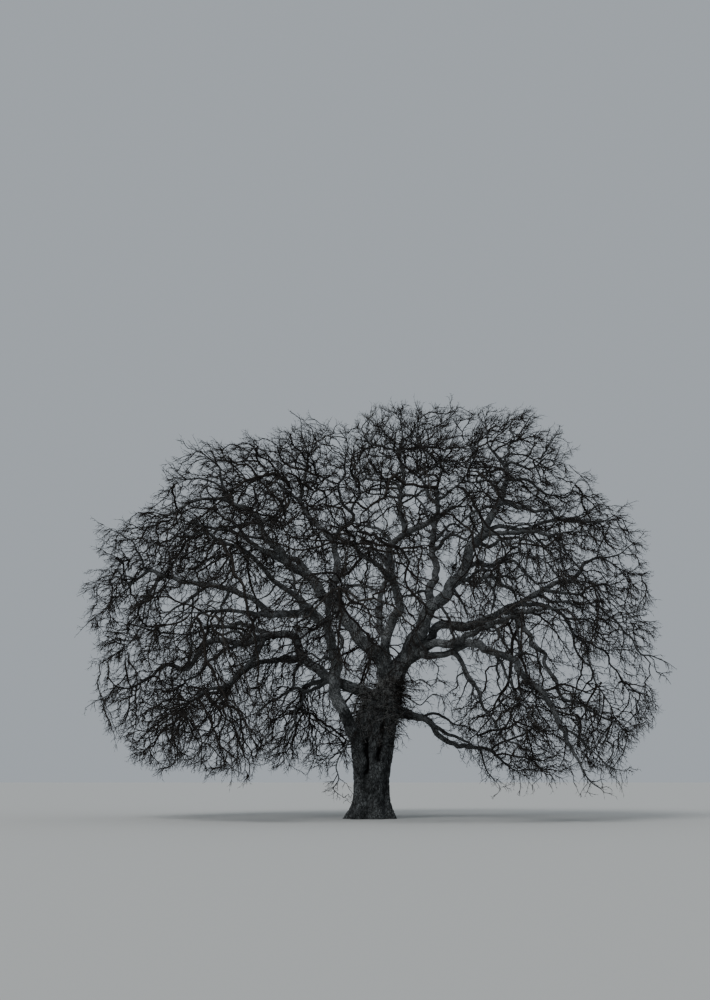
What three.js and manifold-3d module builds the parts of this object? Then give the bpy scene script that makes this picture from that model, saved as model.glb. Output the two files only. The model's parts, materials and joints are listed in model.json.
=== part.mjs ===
// A bare, open-grown oak in winter: a short fluted trunk, sinuous boughs and a wide dome of twig masses.
// The origin is the middle of the flat cut at ground level. +Z is up, +X is to the right of the tree as it
// is usually seen, and -Y is its near side. Named sizes and tables are in metres, the meshes in millimetres.
import * as THREE from "three";
import { mergeVertices } from "three/addons/utils/BufferGeometryUtils.js";
import Module from "manifold-3d";

const wasm = await Module();
wasm.setup();

const MM_PER_METRE = 1000;
const SEAT_GAP = 0.0003; // between two solids that touch
const THICK_BOUGH = { foot: 0.2, sides: 8 }; // from this radius at the foot up
const THIN_BOUGH_SIDES = 6;
const RING_SPACING = 1.6; // along a bough
const MASS_DETAIL = 2; // subdivisions of the icosahedron that a twig mass starts from
const MASS_GAP = 0.34; // of open air between neighbouring twig masses
const SOCKET_DEPTH = 0.4; // how far a bough runs into its twig mass
const CURVE_STEPS = 200; // along a bough's curve, where its frames and its end are looked for
const DOME_HALVINGS = 14; // of a mass's reach, until it ends at the dome
const THINNING = 1.15; // the power by which a bough thins: above 1, it thins fastest near its foot
const LUMP_SHARE = 0.11; // of a mass's reach

// The tree is sized as it is sighted from this far off, by an eye at this height.
const SIGHT = { distance: 60, eye: 1.6 };

// Colours and finishes.
const FINISH = {
  bark: { color: 0x4a423b, roughness: 0.95, metalness: 0 },
  twigs: { color: 0x3b332e, roughness: 1, metalness: 0 },
};

// The trunk from the ground to its fork: each level's height, its middle's shift to the right and its radius.
const TRUNK = {
  sides: 16,
  levels: [
    { height: 0, shift: 0, radius: 1.06 },
    { height: 0.28, shift: 0, radius: 0.93 },
    { height: 0.7, shift: 0.02, radius: 0.81 },
    { height: 1.4, shift: 0.08, radius: 0.73 },
    { height: 2.2, shift: 0.1, radius: 0.78 },
    { height: 3.0, shift: 0.14, radius: 0.88 },
    { height: 3.9, shift: 0.25, radius: 0.91 },
    { height: 4.7, shift: 0.5, radius: 0.88 },
    { height: 5.3, shift: 0.72, radius: 0.79 },
    { height: 5.8, shift: 0.9, radius: 0.64 },
    { height: 6.2, shift: 1.02, radius: 0.46 },
  ],
  buttresses: 6, // ribs that spread into the root flare
  buttressDepth: 0.14, // share of the radius at the ground
  fluteDepth: 0.035, // share of the radius above the flare
  flareHeight: 1.3,
};

// The crown's dome as sighted: at each height, its middle's shift to the right, its half width and half depth.
const DOME = [
  { height: 1.2, shift: 0.9, across: 8.9, deep: 7.0 },
  { height: 2.5, shift: 0.3, across: 10.4, deep: 8.6 },
  { height: 4.3, shift: 0.4, across: 11.8, deep: 9.9 },
  { height: 5.2, shift: 0.5, across: 12.2, deep: 10.4 },
  { height: 6.6, shift: 0.7, across: 12.6, deep: 11.0 },
  { height: 8.5, shift: 0.1, across: 12.3, deep: 11.4 },
  { height: 10.2, shift: -0.2, across: 12.2, deep: 11.2 },
  { height: 12.4, shift: 0, across: 11.6, deep: 10.4 },
  { height: 13.2, shift: 0.5, across: 10.7, deep: 9.8 },
  { height: 14.2, shift: 0.4, across: 9.7, deep: 8.8 },
  { height: 15.3, shift: 0.4, across: 8.8, deep: 7.6 },
  { height: 16.2, shift: 0.8, across: 7.8, deep: 6.4 },
  { height: 17.0, shift: 2.0, across: 5.8, deep: 4.8 },
  { height: 17.6, shift: 3.1, across: 4.0, deep: 3.2 },
  { height: 18.05, shift: 2.2, across: 2.0, deep: 1.4 },
];

// The twig masses stand in rings inside the dome. Bearings are in degrees from the right, turning to the far
// side. inset is from the dome to a mass's middle. Half sizes are: thick towards the dome, long round it, high.
const TIERS = [
  {
    name: "top",
    height: 15.1,
    inset: 3.2,
    half: { thick: 2.7, long: 3.9, high: 2.7 },
    bearings: { east: 0, far_east: 66, far_west: 138, near_west: 208, near: 288 },
  },
  {
    name: "shoulder",
    height: 12.5,
    inset: 2.1,
    half: { thick: 2.5, long: 4.1, high: 2.5 },
    bearings: {
      east: 4, far_east: 48, far: 92, far_west: 136, west: 180, near_west: 224, near: 269, near_east: 314,
    },
  },
  {
    name: "flank",
    height: 8.6,
    inset: 1.9,
    half: { thick: 2.1, long: 4.5, high: 2.5 },
    bearings: {
      east: 0, far_east: 45, far: 90, far_west: 135, west: 180, near_west: 223, near: 268, near_east: 316,
    },
  },
  {
    name: "skirt",
    height: 4.4,
    inset: 1.9,
    half: { thick: 2.1, long: 4.4, high: 2.9 },
    bearings: { east: 4, far_east: 48, far: 108, far_west: 146, west: 182, near_west: 223, near_east: 319 },
  },
];
const CREST = { name: "crest", middle: [1.7, 0, 16.2], half: { thick: 2.4, long: 2.9, high: 2.4 } };
const HEART = [0.3, 0, 6.5]; // the masses face away from this point

// Each bough is one tapering limb: its radius at its foot and its tip, and its route as sighted,
// [right, deep, up], from inside the limb that carries it to the dome. It ends in the first mass it meets.
const BOUGHS = [
  {
    name: "great_west_bough", foot: 0.33, tip: 0.06,
    route: [
      [0.9, 0, 5.8], [0.4, -0.1, 6.7], [-0.5, -0.3, 7.7], [-1.4, -0.4, 8.9], [-2.3, -0.5, 10.1], [-3.6, -0.7, 11.0],
      [-4.6, -0.9, 12.3], [-5.4, -1.0, 13.4], [-6.4, -1.1, 14.1], [-6.8, -1.0, 15.1], [-7.7, -1.0, 15.8],
    ],
  },
  {
    name: "great_east_bough", foot: 0.38, tip: 0.06,
    route: [
      [1.0, 0, 5.8], [1.6, 0, 6.8], [2.1, -0.1, 7.8], [2.7, -0.2, 8.9], [3.6, -0.3, 9.8], [4.2, -0.3, 10.7],
      [4.8, -0.4, 12.0], [5.6, -0.5, 13.3], [6.0, -0.5, 14.3], [5.8, -0.5, 15.3], [5.3, -0.5, 16.2], [5.2, -0.5, 17.4],
    ],
  },
  {
    name: "centre_bough", foot: 0.24, tip: 0.08,
    route: [
      [1.0, 0, 5.9], [0.75, -0.3, 6.9], [0.75, -0.6, 7.8], [1.2, -1.1, 8.7], [1.2, -1.6, 9.7], [0.95, -2.0, 10.9],
      [1.2, -2.5, 11.8], [2.1, -3.1, 12.5], [3.0, -3.8, 13.4], [3.0, -4.3, 14.4],
    ],
  },
  {
    name: "west_riser_bough", foot: 0.29, tip: 0.2,
    route: [
      [-0.2, -0.4, 2.9], [-0.9, -0.9, 4.1], [-1.4, -1.2, 5.3], [-1.5, -1.3, 6.6], [-1.7, -1.5, 7.7], [-2.2, -1.7, 8.6],
    ],
  },
  {
    name: "low_west_bough", foot: 0.27, tip: 0.05,
    route: [
      [0.3, 0.3, 4.9], [-0.8, 0.6, 5.5], [-1.9, 0.9, 6.0], [-2.7, 1.1, 6.7], [-3.2, 1.2, 7.6], [-4.1, 1.2, 7.7],
      [-5.2, 1.2, 7.4], [-6.6, 1.2, 7.5], [-7.4, 1.2, 6.9], [-8.0, 1.2, 6.3], [-9.1, 1.2, 6.3], [-10.1, 1.2, 5.5],
      [-11.8, 1.0, 4.9],
    ],
  },
  {
    name: "low_east_bough", foot: 0.18, tip: 0.05,
    route: [
      [0.8, 0.1, 4.4], [1.8, 0.6, 4.2], [2.4, 1.4, 4.2], [3.0, 2.4, 3.5], [3.9, 3.4, 3.0], [5.0, 4.6, 2.9],
      [5.7, 5.6, 2.4], [6.6, 6.6, 1.8],
    ],
  },
  {
    name: "far_low_bough", foot: 0.18, tip: 0.08,
    route: [[0.4, 0.3, 5.0], [0.5, 1.8, 5.9], [0.5, 3.6, 6.4], [0.3, 5.4, 6.8], [0.1, 7.4, 7.2], [0, 9.4, 7.7]],
  },
  {
    name: "east_bough", foot: 0.22, tip: 0.05,
    route: [
      [1.7, 0, 7.0], [2.6, 0.2, 7.8], [3.4, 0.3, 8.3], [4.6, 0.3, 8.2], [5.6, 0.2, 8.6], [6.8, 0.1, 9.2],
      [7.8, 0, 9.8], [8.9, 0, 10.0], [10.0, 0, 11.0], [11.7, 0, 10.4],
    ],
  },
  {
    name: "near_east_low_bough", foot: 0.21, tip: 0.05,
    route: [
      [1.6, -0.1, 6.7], [2.6, -0.8, 7.4], [3.6, -1.6, 7.6], [4.9, -2.8, 7.3], [6.1, -3.9, 6.8], [6.9, -4.8, 5.8],
      [7.7, -5.4, 4.8], [8.4, -5.8, 3.3], [9.0, -6.0, 2.1], [9.8, -6.0, 1.3],
    ],
  },
  {
    name: "far_east_top_bough", foot: 0.19, tip: 0.08,
    route: [
      [2.7, -0.2, 8.9], [2.65, 0.4, 9.7], [2.9, 1.1, 10.4], [2.8, 1.8, 11.5], [2.9, 2.6, 12.6], [3.6, 3.4, 13.4],
      [4.5, 4.2, 13.6],
    ],
  },
  {
    name: "east_shoulder_bough", foot: 0.11, tip: 0.05,
    route: [[4.9, -0.4, 12.1], [5.7, -0.1, 12.5], [6.7, 0.1, 12.4], [7.6, 0.2, 12.7], [9.0, 0.3, 12.7], [10.9, 0.4, 12.8]],
  },
  {
    name: "near_east_shoulder_bough", foot: 0.12, tip: 0.06,
    route: [
      [4.7, -0.4, 11.7], [5.3, -1.6, 12.2], [6.3, -3.0, 12.2], [7.3, -4.2, 12.3], [8.0, -5.4, 12.2], [9.0, -6.6, 12.3],
    ],
  },
  {
    name: "far_east_shoulder_bough", foot: 0.13, tip: 0.06,
    route: [[4.2, -0.3, 10.6], [4.8, 1.2, 10.9], [5.3, 2.8, 10.8], [5.9, 4.2, 11.1], [6.3, 5.6, 11.3], [6.9, 7.0, 11.3]],
  },
  {
    name: "skirt_east_bough", foot: 0.13, tip: 0.04,
    route: [
      [5.9, 0.2, 8.8], [6.4, 0, 8.4], [7.0, -0.5, 7.5], [7.5, -0.9, 6.8], [7.7, -1.2, 6.2], [8.1, -1.3, 5.4],
      [8.8, -1.4, 4.9], [10.0, -1.2, 4.2], [11.2, -1.0, 3.7],
    ],
  },
  {
    name: "far_east_bough", foot: 0.15, tip: 0.07,
    route: [[3.2, 0.3, 8.2], [4.2, 1.6, 8.2], [5.2, 3.1, 8.4], [6.1, 4.6, 8.8], [7.0, 6.1, 8.7], [7.8, 7.4, 8.3]],
  },
  {
    name: "near_east_bough", foot: 0.15, tip: 0.06,
    route: [[3.3, -1.4, 7.55], [4.1, -3.0, 7.8], [5.1, -4.4, 8.2], [6.4, -5.5, 8.6], [7.6, -6.5, 8.8], [8.6, -7.4, 8.8]],
  },
  {
    name: "north_west_bough", foot: 0.17, tip: 0.05,
    route: [
      [-1.5, -0.4, 9.0], [-1.5, 0.2, 10.3], [-1.4, 0.9, 11.4], [-1.8, 1.5, 12.3], [-2.7, 1.9, 13.1], [-3.0, 2.0, 14.0],
      [-2.8, 1.8, 15.2], [-3.0, 1.4, 16.6],
    ],
  },
  {
    name: "west_shoulder_bough", foot: 0.12, tip: 0.05,
    route: [[-3.5, -0.7, 10.9], [-4.7, -0.7, 11.5], [-5.7, -0.6, 12.2], [-7.0, -0.5, 12.4], [-8.6, -0.4, 12.9]],
  },
  {
    name: "far_west_shoulder_bough", foot: 0.14, tip: 0.06,
    route: [[-2.2, -0.5, 9.9], [-2.9, 1.0, 10.8], [-3.6, 2.4, 11.2], [-4.3, 3.7, 11.5], [-4.9, 4.8, 11.6], [-5.6, 6.0, 11.9]],
  },
  {
    name: "crest_bough", foot: 0.12, tip: 0.04,
    route: [
      [1.6, -2.8, 12.15], [1.35, -2.0, 13.1], [1.4, -1.4, 14.1], [1.6, -0.8, 15.0], [1.4, -0.4, 16.0], [1.5, 0, 17.4],
    ],
  },
  {
    name: "far_bough", foot: 0.16, tip: 0.07,
    route: [
      [0.75, -0.5, 7.5], [0.45, 0.6, 8.5], [0.5, 2.0, 9.6], [0.9, 3.4, 10.4], [0.6, 4.8, 11.1], [0.2, 6.2, 11.6],
      [0.2, 7.6, 11.8],
    ],
  },
  {
    name: "near_bough", foot: 0.13, tip: 0.06,
    route: [[1.05, -1.8, 10.2], [0.4, -3.2, 10.8], [-0.2, -4.6, 11.2], [-0.6, -6.2, 11.8], [-0.5, -7.6, 12.4]],
  },
  {
    name: "west_bough", foot: 0.17, tip: 0.05,
    route: [
      [-2.05, -1.65, 8.3], [-3.0, -1.8, 8.7], [-4.2, -1.7, 8.6], [-5.0, -1.6, 9.3], [-6.2, -1.5, 9.8],
      [-7.6, -1.3, 10.0], [-8.8, -1.2, 10.2], [-9.9, -1.1, 10.2], [-11.0, -1.0, 9.9],
    ],
  },
  {
    name: "near_west_shoulder_bough", foot: 0.15, tip: 0.05,
    route: [
      [-2.0, -1.6, 8.2], [-2.6, -2.1, 9.2], [-3.6, -2.8, 9.8], [-4.6, -3.4, 10.7], [-5.7, -4.0, 11.6],
      [-6.8, -4.6, 12.1], [-7.8, -5.0, 12.9],
    ],
  },
  {
    name: "near_low_bough", foot: 0.15, tip: 0.07,
    route: [[-1.55, -1.35, 6.9], [-1.75, -3.0, 8.2], [-1.7, -4.6, 9.1], [-1.5, -6.2, 9.7], [-1.2, -8.0, 9.9]],
  },
  {
    name: "near_west_bough", foot: 0.12, tip: 0.06,
    route: [[-3.2, -1.8, 8.7], [-4.3, -3.0, 8.6], [-5.5, -4.2, 8.8], [-6.8, -5.4, 8.8], [-7.9, -6.4, 8.7]],
  },
  {
    name: "far_west_bough", foot: 0.13, tip: 0.07,
    route: [[-4.1, 1.2, 7.7], [-5.1, 2.5, 8.1], [-6.0, 3.9, 8.2], [-6.8, 5.2, 8.1], [-7.4, 6.6, 8.0]],
  },
  {
    name: "skirt_near_west_bough", foot: 0.12, tip: 0.05,
    route: [
      [-4.6, 1.2, 7.55], [-4.9, 0.3, 6.8], [-5.5, -0.8, 6.2], [-6.2, -2.2, 5.6], [-7.0, -3.6, 5.3], [-8.0, -5.0, 4.6],
    ],
  },
  {
    name: "skirt_far_west_bough", foot: 0.14, tip: 0.06,
    route: [[-2.6, 1.1, 6.6], [-3.7, 2.2, 6.7], [-4.8, 3.4, 6.5], [-5.8, 4.6, 5.7], [-6.5, 5.6, 4.9], [-7.0, 6.6, 4.3]],
  },
  {
    name: "skirt_far_bough", foot: 0.13, tip: 0.06,
    route: [[-1.6, 0.85, 5.9], [-2.5, 2.2, 5.6], [-2.8, 3.6, 5.5], [-2.9, 5.0, 5.1], [-2.8, 6.4, 4.5], [-2.6, 7.8, 4.0]],
  },
];

const radians = THREE.MathUtils.degToRad;
const lerp = THREE.MathUtils.lerp;

// A sighted point, in metres, at its real place: what lies deeper looks smaller, so it is spread from the eye.
function placed([right, deep, up]) {
  const spread = 1 + deep / SIGHT.distance;
  return new THREE.Vector3(right * spread, deep, SIGHT.eye + (up - SIGHT.eye) * spread);
}

// A real point as it is sighted.
function sighted({ x, y, z }) {
  const spread = 1 + y / SIGHT.distance;
  return { right: x / spread, deep: y, up: SIGHT.eye + (z - SIGHT.eye) / spread };
}

// A closed geometry in metres as a solid in millimetres.
function solidOf(geometry) {
  const bare = geometry.clone();
  bare.deleteAttribute("normal");
  bare.deleteAttribute("uv");
  bare.scale(MM_PER_METRE, MM_PER_METRE, MM_PER_METRE);
  const merged = mergeVertices(bare, 1e-3);
  return new wasm.Manifold(
    new wasm.Mesh({
      numProp: 3,
      vertProperties: merged.attributes.position.array,
      triVerts: new Uint32Array(merged.index.array),
    }),
  );
}

// The largest body of a solid, without the slivers that a cut can leave.
function mainBody(solid) {
  return solid.decompose().sort((a, b) => b.volume() - a.volume())[0];
}

// A turned profile with one ring of points at each whole level, and its two ends closed on the axis.
function turned(levels, sides) {
  const profile = [new THREE.Vector2(0, 0)];
  for (let level = 0; level < levels; level += 1) profile.push(new THREE.Vector2(1, level));
  profile.push(new THREE.Vector2(0, levels - 1));
  return new THREE.LatheGeometry(profile, sides);
}

// The radius of a bough a share of the way along it: it thins fastest near its foot.
function boughRadius({ foot, tip }, share) {
  return tip + (foot - tip) * (1 - share) ** THINNING;
}

// A bough's tube up to the given share of its curve, with every side moved out by grow.
function boughGeometry(bough, curve, end, grow) {
  const length = curve.getLength() * end;
  const rings = Math.max(4, Math.ceil(length / RING_SPACING) + 1);
  const geometry = turned(rings, bough.foot < THICK_BOUGH.foot ? THIN_BOUGH_SIDES : THICK_BOUGH.sides);
  const position = geometry.attributes.position;
  const { tangents, normals, binormals } = curve.computeFrenetFrames(CURVE_STEPS, false);
  for (let i = 0; i < position.count; i += 1) {
    const level = Math.round(position.getY(i));
    const share = (end * level) / (rings - 1);
    const frame = Math.round(share * CURVE_STEPS);
    const radius = boughRadius(bough, share) + grow;
    const point = curve.getPointAt(share);
    point.addScaledVector(normals[frame], radius * position.getX(i));
    point.addScaledVector(binormals[frame], -radius * position.getZ(i));
    if (level === 0) point.addScaledVector(tangents[frame], -grow);
    if (level === rings - 1) point.addScaledVector(tangents[frame], grow);
    position.setXYZ(i, point.x, point.y, point.z);
  }
  return geometry;
}

// The trunk: rings that follow its lean, swollen by buttresses that fade upwards into shallow flutes.
function trunkGeometry(grow) {
  const { levels, sides, buttresses, buttressDepth, fluteDepth, flareHeight } = TRUNK;
  const geometry = turned(levels.length, sides);
  const position = geometry.attributes.position;
  for (let i = 0; i < position.count; i += 1) {
    const across = position.getX(i);
    const deep = -position.getZ(i);
    const { height, shift, radius } = levels[Math.round(position.getY(i))];
    const bearing = Math.atan2(deep, across);
    const flare = buttressDepth * Math.exp(-height / flareHeight) + fluteDepth;
    const rib = Math.cos(buttresses * bearing + 0.5) + 0.4 * Math.cos(2 * bearing - 1.1);
    const reach = (radius * (1 + flare * rib) + grow) * Math.hypot(across, deep);
    const top = height === levels.at(-1).height ? grow : 0;
    position.setXYZ(i, shift + reach * Math.cos(bearing), reach * Math.sin(bearing), height + top);
  }
  return geometry;
}

// The dome's section at a height, between the two levels of the table that hold it.
function domeSection(height) {
  const above = DOME.findIndex((level) => level.height >= height);
  if (above < 1) return null;
  const [low, high] = [DOME[above - 1], DOME[above]];
  const share = (height - low.height) / (high.height - low.height);
  return {
    shift: lerp(low.shift, high.shift, share),
    across: lerp(low.across, high.across, share),
    deep: lerp(low.deep, high.deep, share),
  };
}

// True if a point is inside the dome, both as it is and as it is sighted: on the near side, what stands
// closer looms larger and so has to be lower.
function insideDome(point) {
  return [{ right: point.x, deep: point.y, up: point.z }, sighted(point)].every(({ right, deep, up }) => {
    const section = domeSection(up);
    return section !== null && Math.hypot((right - section.shift) / section.across, deep / section.deep) < 1;
  });
}

// The twig masses' middles, axes and half sizes.
function massPlan() {
  const plan = [];
  for (const { name, height, inset, half, bearings } of TIERS) {
    const section = domeSection(height);
    for (const [side, bearing] of Object.entries(bearings)) {
      const right = section.shift + (section.across - inset) * Math.cos(radians(bearing));
      const deep = (section.deep - inset) * Math.sin(radians(bearing));
      const middle = deep < 0 ? placed([right, deep, height]) : new THREE.Vector3(right, deep, height);
      plan.push({ name: `${name}_twigs_${side}`, middle, half });
    }
  }
  plan.push({ name: `${CREST.name}_twigs`, middle: placed(CREST.middle), half: CREST.half });
  const heart = new THREE.Vector3(...HEART);
  plan.forEach((mass, index) => {
    mass.out = mass.middle.clone().sub(heart).normalize();
    mass.round = new THREE.Vector3(0, 0, 1).cross(mass.out).normalize();
    mass.up = mass.out.clone().cross(mass.round);
    mass.seed = index * 1.7;
  });
  return plan;
}

// How far a mass reaches in a direction from its middle: a lumpy egg, held inside the dome and on its own
// side of the planes half way to its neighbours.
function massReach(mass, direction, plan) {
  const { half, out, round, up, middle, seed } = mass;
  const egg = Math.hypot(direction.dot(out) / half.thick, direction.dot(round) / half.long, direction.dot(up) / half.high);
  const lumps =
    Math.sin(4.1 * direction.x + seed) * Math.cos(3.3 * direction.y - seed) +
    Math.sin(5.2 * direction.z + 2.3 * seed) * Math.cos(4.7 * direction.x + seed);
  let reach = (1 + LUMP_SHARE * lumps) / egg;
  for (const other of plan) {
    if (other === mass) continue;
    const apart = other.middle.clone().sub(middle);
    const towards = direction.dot(apart) / apart.length();
    if (towards > 0) reach = Math.min(reach, (apart.length() - MASS_GAP) / 2 / towards);
  }
  if (insideDome(middle.clone().addScaledVector(direction, reach))) return reach;
  let [inside, outside] = [0, reach];
  for (let halving = 0; halving < DOME_HALVINGS; halving += 1) {
    const halfWay = (inside + outside) / 2;
    if (insideDome(middle.clone().addScaledVector(direction, halfWay))) inside = halfWay;
    else outside = halfWay;
  }
  return inside;
}

function massGeometry(mass, plan) {
  const geometry = new THREE.IcosahedronGeometry(1, MASS_DETAIL);
  const position = geometry.attributes.position;
  const direction = new THREE.Vector3();
  for (let i = 0; i < position.count; i += 1) {
    direction.fromBufferAttribute(position, i).normalize();
    const reach = massReach(mass, direction, plan);
    const point = mass.middle.clone().addScaledVector(direction, reach);
    position.setXYZ(i, point.x, point.y, point.z);
  }
  return geometry;
}

// True if a point lies inside a mass's facets. Each mass can be seen whole from its own middle, so the first
// facet from there towards the point is the only one in the way.
function insideMass(mass, point) {
  const offset = point.clone().sub(mass.middle);
  const distance = offset.length();
  const ray = new THREE.Ray(mass.middle, offset.normalize());
  const [a, b, c, hit] = Array.from({ length: 4 }, () => new THREE.Vector3());
  const position = mass.geometry.attributes.position;
  for (let i = 0; i < position.count; i += 3) {
    a.fromBufferAttribute(position, i);
    b.fromBufferAttribute(position, i + 1);
    c.fromBufferAttribute(position, i + 2);
    if (ray.intersectTriangle(a, b, c, false, hit)) return distance < hit.distanceTo(mass.middle);
  }
  return false;
}

// The share of a bough's curve at which it is SOCKET_DEPTH inside the first mass that it meets, or 1.
function boughEnd(curve, plan) {
  for (let step = 1; step <= CURVE_STEPS; step += 1) {
    const share = step / CURVE_STEPS;
    const point = curve.getPointAt(share);
    if (plan.some((mass) => insideMass(mass, point))) return Math.min(1, share + SOCKET_DEPTH / curve.getLength());
  }
  return 1;
}

// A named mesh whose own origin is at its anchor, so that its group places it.
function meshOf(name, solid, anchor, finish) {
  const made = solid.getMesh();
  const geometry = new THREE.BufferGeometry();
  geometry.setAttribute("position", new THREE.BufferAttribute(new Float32Array(made.vertProperties), 3));
  geometry.setIndex(new THREE.BufferAttribute(new Uint32Array(made.triVerts), 1));
  const place = anchor.clone().multiplyScalar(MM_PER_METRE).round();
  geometry.translate(-place.x, -place.y, -place.z);
  geometry.computeVertexNormals();
  const mesh = new THREE.Mesh(geometry, new THREE.MeshStandardMaterial(FINISH[finish]));
  mesh.name = name;
  mesh.position.copy(place);
  return mesh;
}

const tree = new THREE.Group();
const boughs = new THREE.Group();
const crown = new THREE.Group();
tree.add(boughs, crown);

tree.add(meshOf("trunk", solidOf(trunkGeometry(0)), new THREE.Vector3(), "bark"));
const grown = [solidOf(trunkGeometry(SEAT_GAP))]; // each solid so far, with room round it for what touches it

const plan = massPlan();
for (const mass of plan) mass.geometry = massGeometry(mass, plan);

for (const bough of BOUGHS) {
  const curve = new THREE.CatmullRomCurve3(bough.route.map(placed), false, "centripetal");
  const end = boughEnd(curve, plan);
  let solid = solidOf(boughGeometry(bough, curve, end, 0));
  for (const earlier of grown) solid = mainBody(solid.subtract(earlier));
  boughs.add(meshOf(bough.name, solid, curve.getPointAt(0), "bark"));
  grown.push(solidOf(boughGeometry(bough, curve, end, SEAT_GAP)));
}

for (const mass of plan) {
  let solid = solidOf(mass.geometry);
  for (const wood of grown) solid = solid.subtract(wood);
  crown.add(meshOf(mass.name, mainBody(solid), mass.middle, "twigs"));
}

export default tree;
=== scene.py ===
"""A bare, open-grown oak in winter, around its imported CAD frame.

The frame gives the trunk, thirty boughs and the solids that hold the crown's twigs. Here a barked mesh
stands for the trunk and each bough, side limbs and arms grow on from the boughs, and each twig solid is
replaced by twigs and sprays that a seeded rule grows inside it. Lengths are in metres, +Z is up, +X is to
the right of the tree as it is usually seen, and -Y is its near side.
"""

import json
import math

import bpy
import numpy as np
from mathutils.bvhtree import BVHTree
from mathutils.kdtree import KDTree
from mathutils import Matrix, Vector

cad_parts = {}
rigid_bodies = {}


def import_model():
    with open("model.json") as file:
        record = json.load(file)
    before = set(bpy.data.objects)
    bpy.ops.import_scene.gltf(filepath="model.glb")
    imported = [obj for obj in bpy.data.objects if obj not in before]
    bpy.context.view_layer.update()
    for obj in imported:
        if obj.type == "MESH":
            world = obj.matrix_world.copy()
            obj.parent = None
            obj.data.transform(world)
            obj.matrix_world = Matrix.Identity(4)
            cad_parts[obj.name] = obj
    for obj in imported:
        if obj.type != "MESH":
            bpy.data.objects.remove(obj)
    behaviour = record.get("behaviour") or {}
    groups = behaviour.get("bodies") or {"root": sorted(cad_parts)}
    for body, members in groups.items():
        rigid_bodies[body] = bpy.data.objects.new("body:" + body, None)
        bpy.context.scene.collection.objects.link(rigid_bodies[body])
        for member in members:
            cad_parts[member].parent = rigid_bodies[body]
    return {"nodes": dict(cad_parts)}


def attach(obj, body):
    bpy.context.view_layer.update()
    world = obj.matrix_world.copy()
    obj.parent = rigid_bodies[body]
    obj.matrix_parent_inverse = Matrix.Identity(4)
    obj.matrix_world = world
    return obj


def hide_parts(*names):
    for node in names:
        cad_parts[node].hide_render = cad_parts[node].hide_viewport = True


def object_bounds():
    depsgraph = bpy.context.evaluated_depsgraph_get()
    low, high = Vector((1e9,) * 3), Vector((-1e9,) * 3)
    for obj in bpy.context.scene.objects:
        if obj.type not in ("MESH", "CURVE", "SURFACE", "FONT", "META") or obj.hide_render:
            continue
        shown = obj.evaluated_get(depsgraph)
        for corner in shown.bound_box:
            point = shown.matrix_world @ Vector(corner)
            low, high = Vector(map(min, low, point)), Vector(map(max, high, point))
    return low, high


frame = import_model()
cad_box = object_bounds()

# The tree is sighted from this far off, by an eye at this height, through a frame of 710 by 1000 pixels.
SIGHT_DISTANCE = 60.0
EYE_HEIGHT = 1.6
FRAME_FOOT = np.array([369.0, 817.0])  # the pixel where the trunk's middle meets the ground
PIXEL = 0.0435  # metres that a pixel spans at the trunk
CAMERA_UP = 11.4  # degrees that the camera looks up, and turns left
CAMERA_LEFT = 0.577

camera_data = bpy.data.cameras.new("sight_camera")
camera_data.lens = 50.0
camera_data.sensor_width = 36.0
camera_data.clip_end = 2000.0
camera = bpy.data.objects.new("sight_camera", camera_data)
camera.location = (0.0, -SIGHT_DISTANCE, EYE_HEIGHT)
camera.rotation_euler = (math.radians(90.0 + CAMERA_UP), 0.0, math.radians(CAMERA_LEFT))
bpy.context.scene.collection.objects.link(camera)
bpy.context.scene.camera = camera

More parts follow.
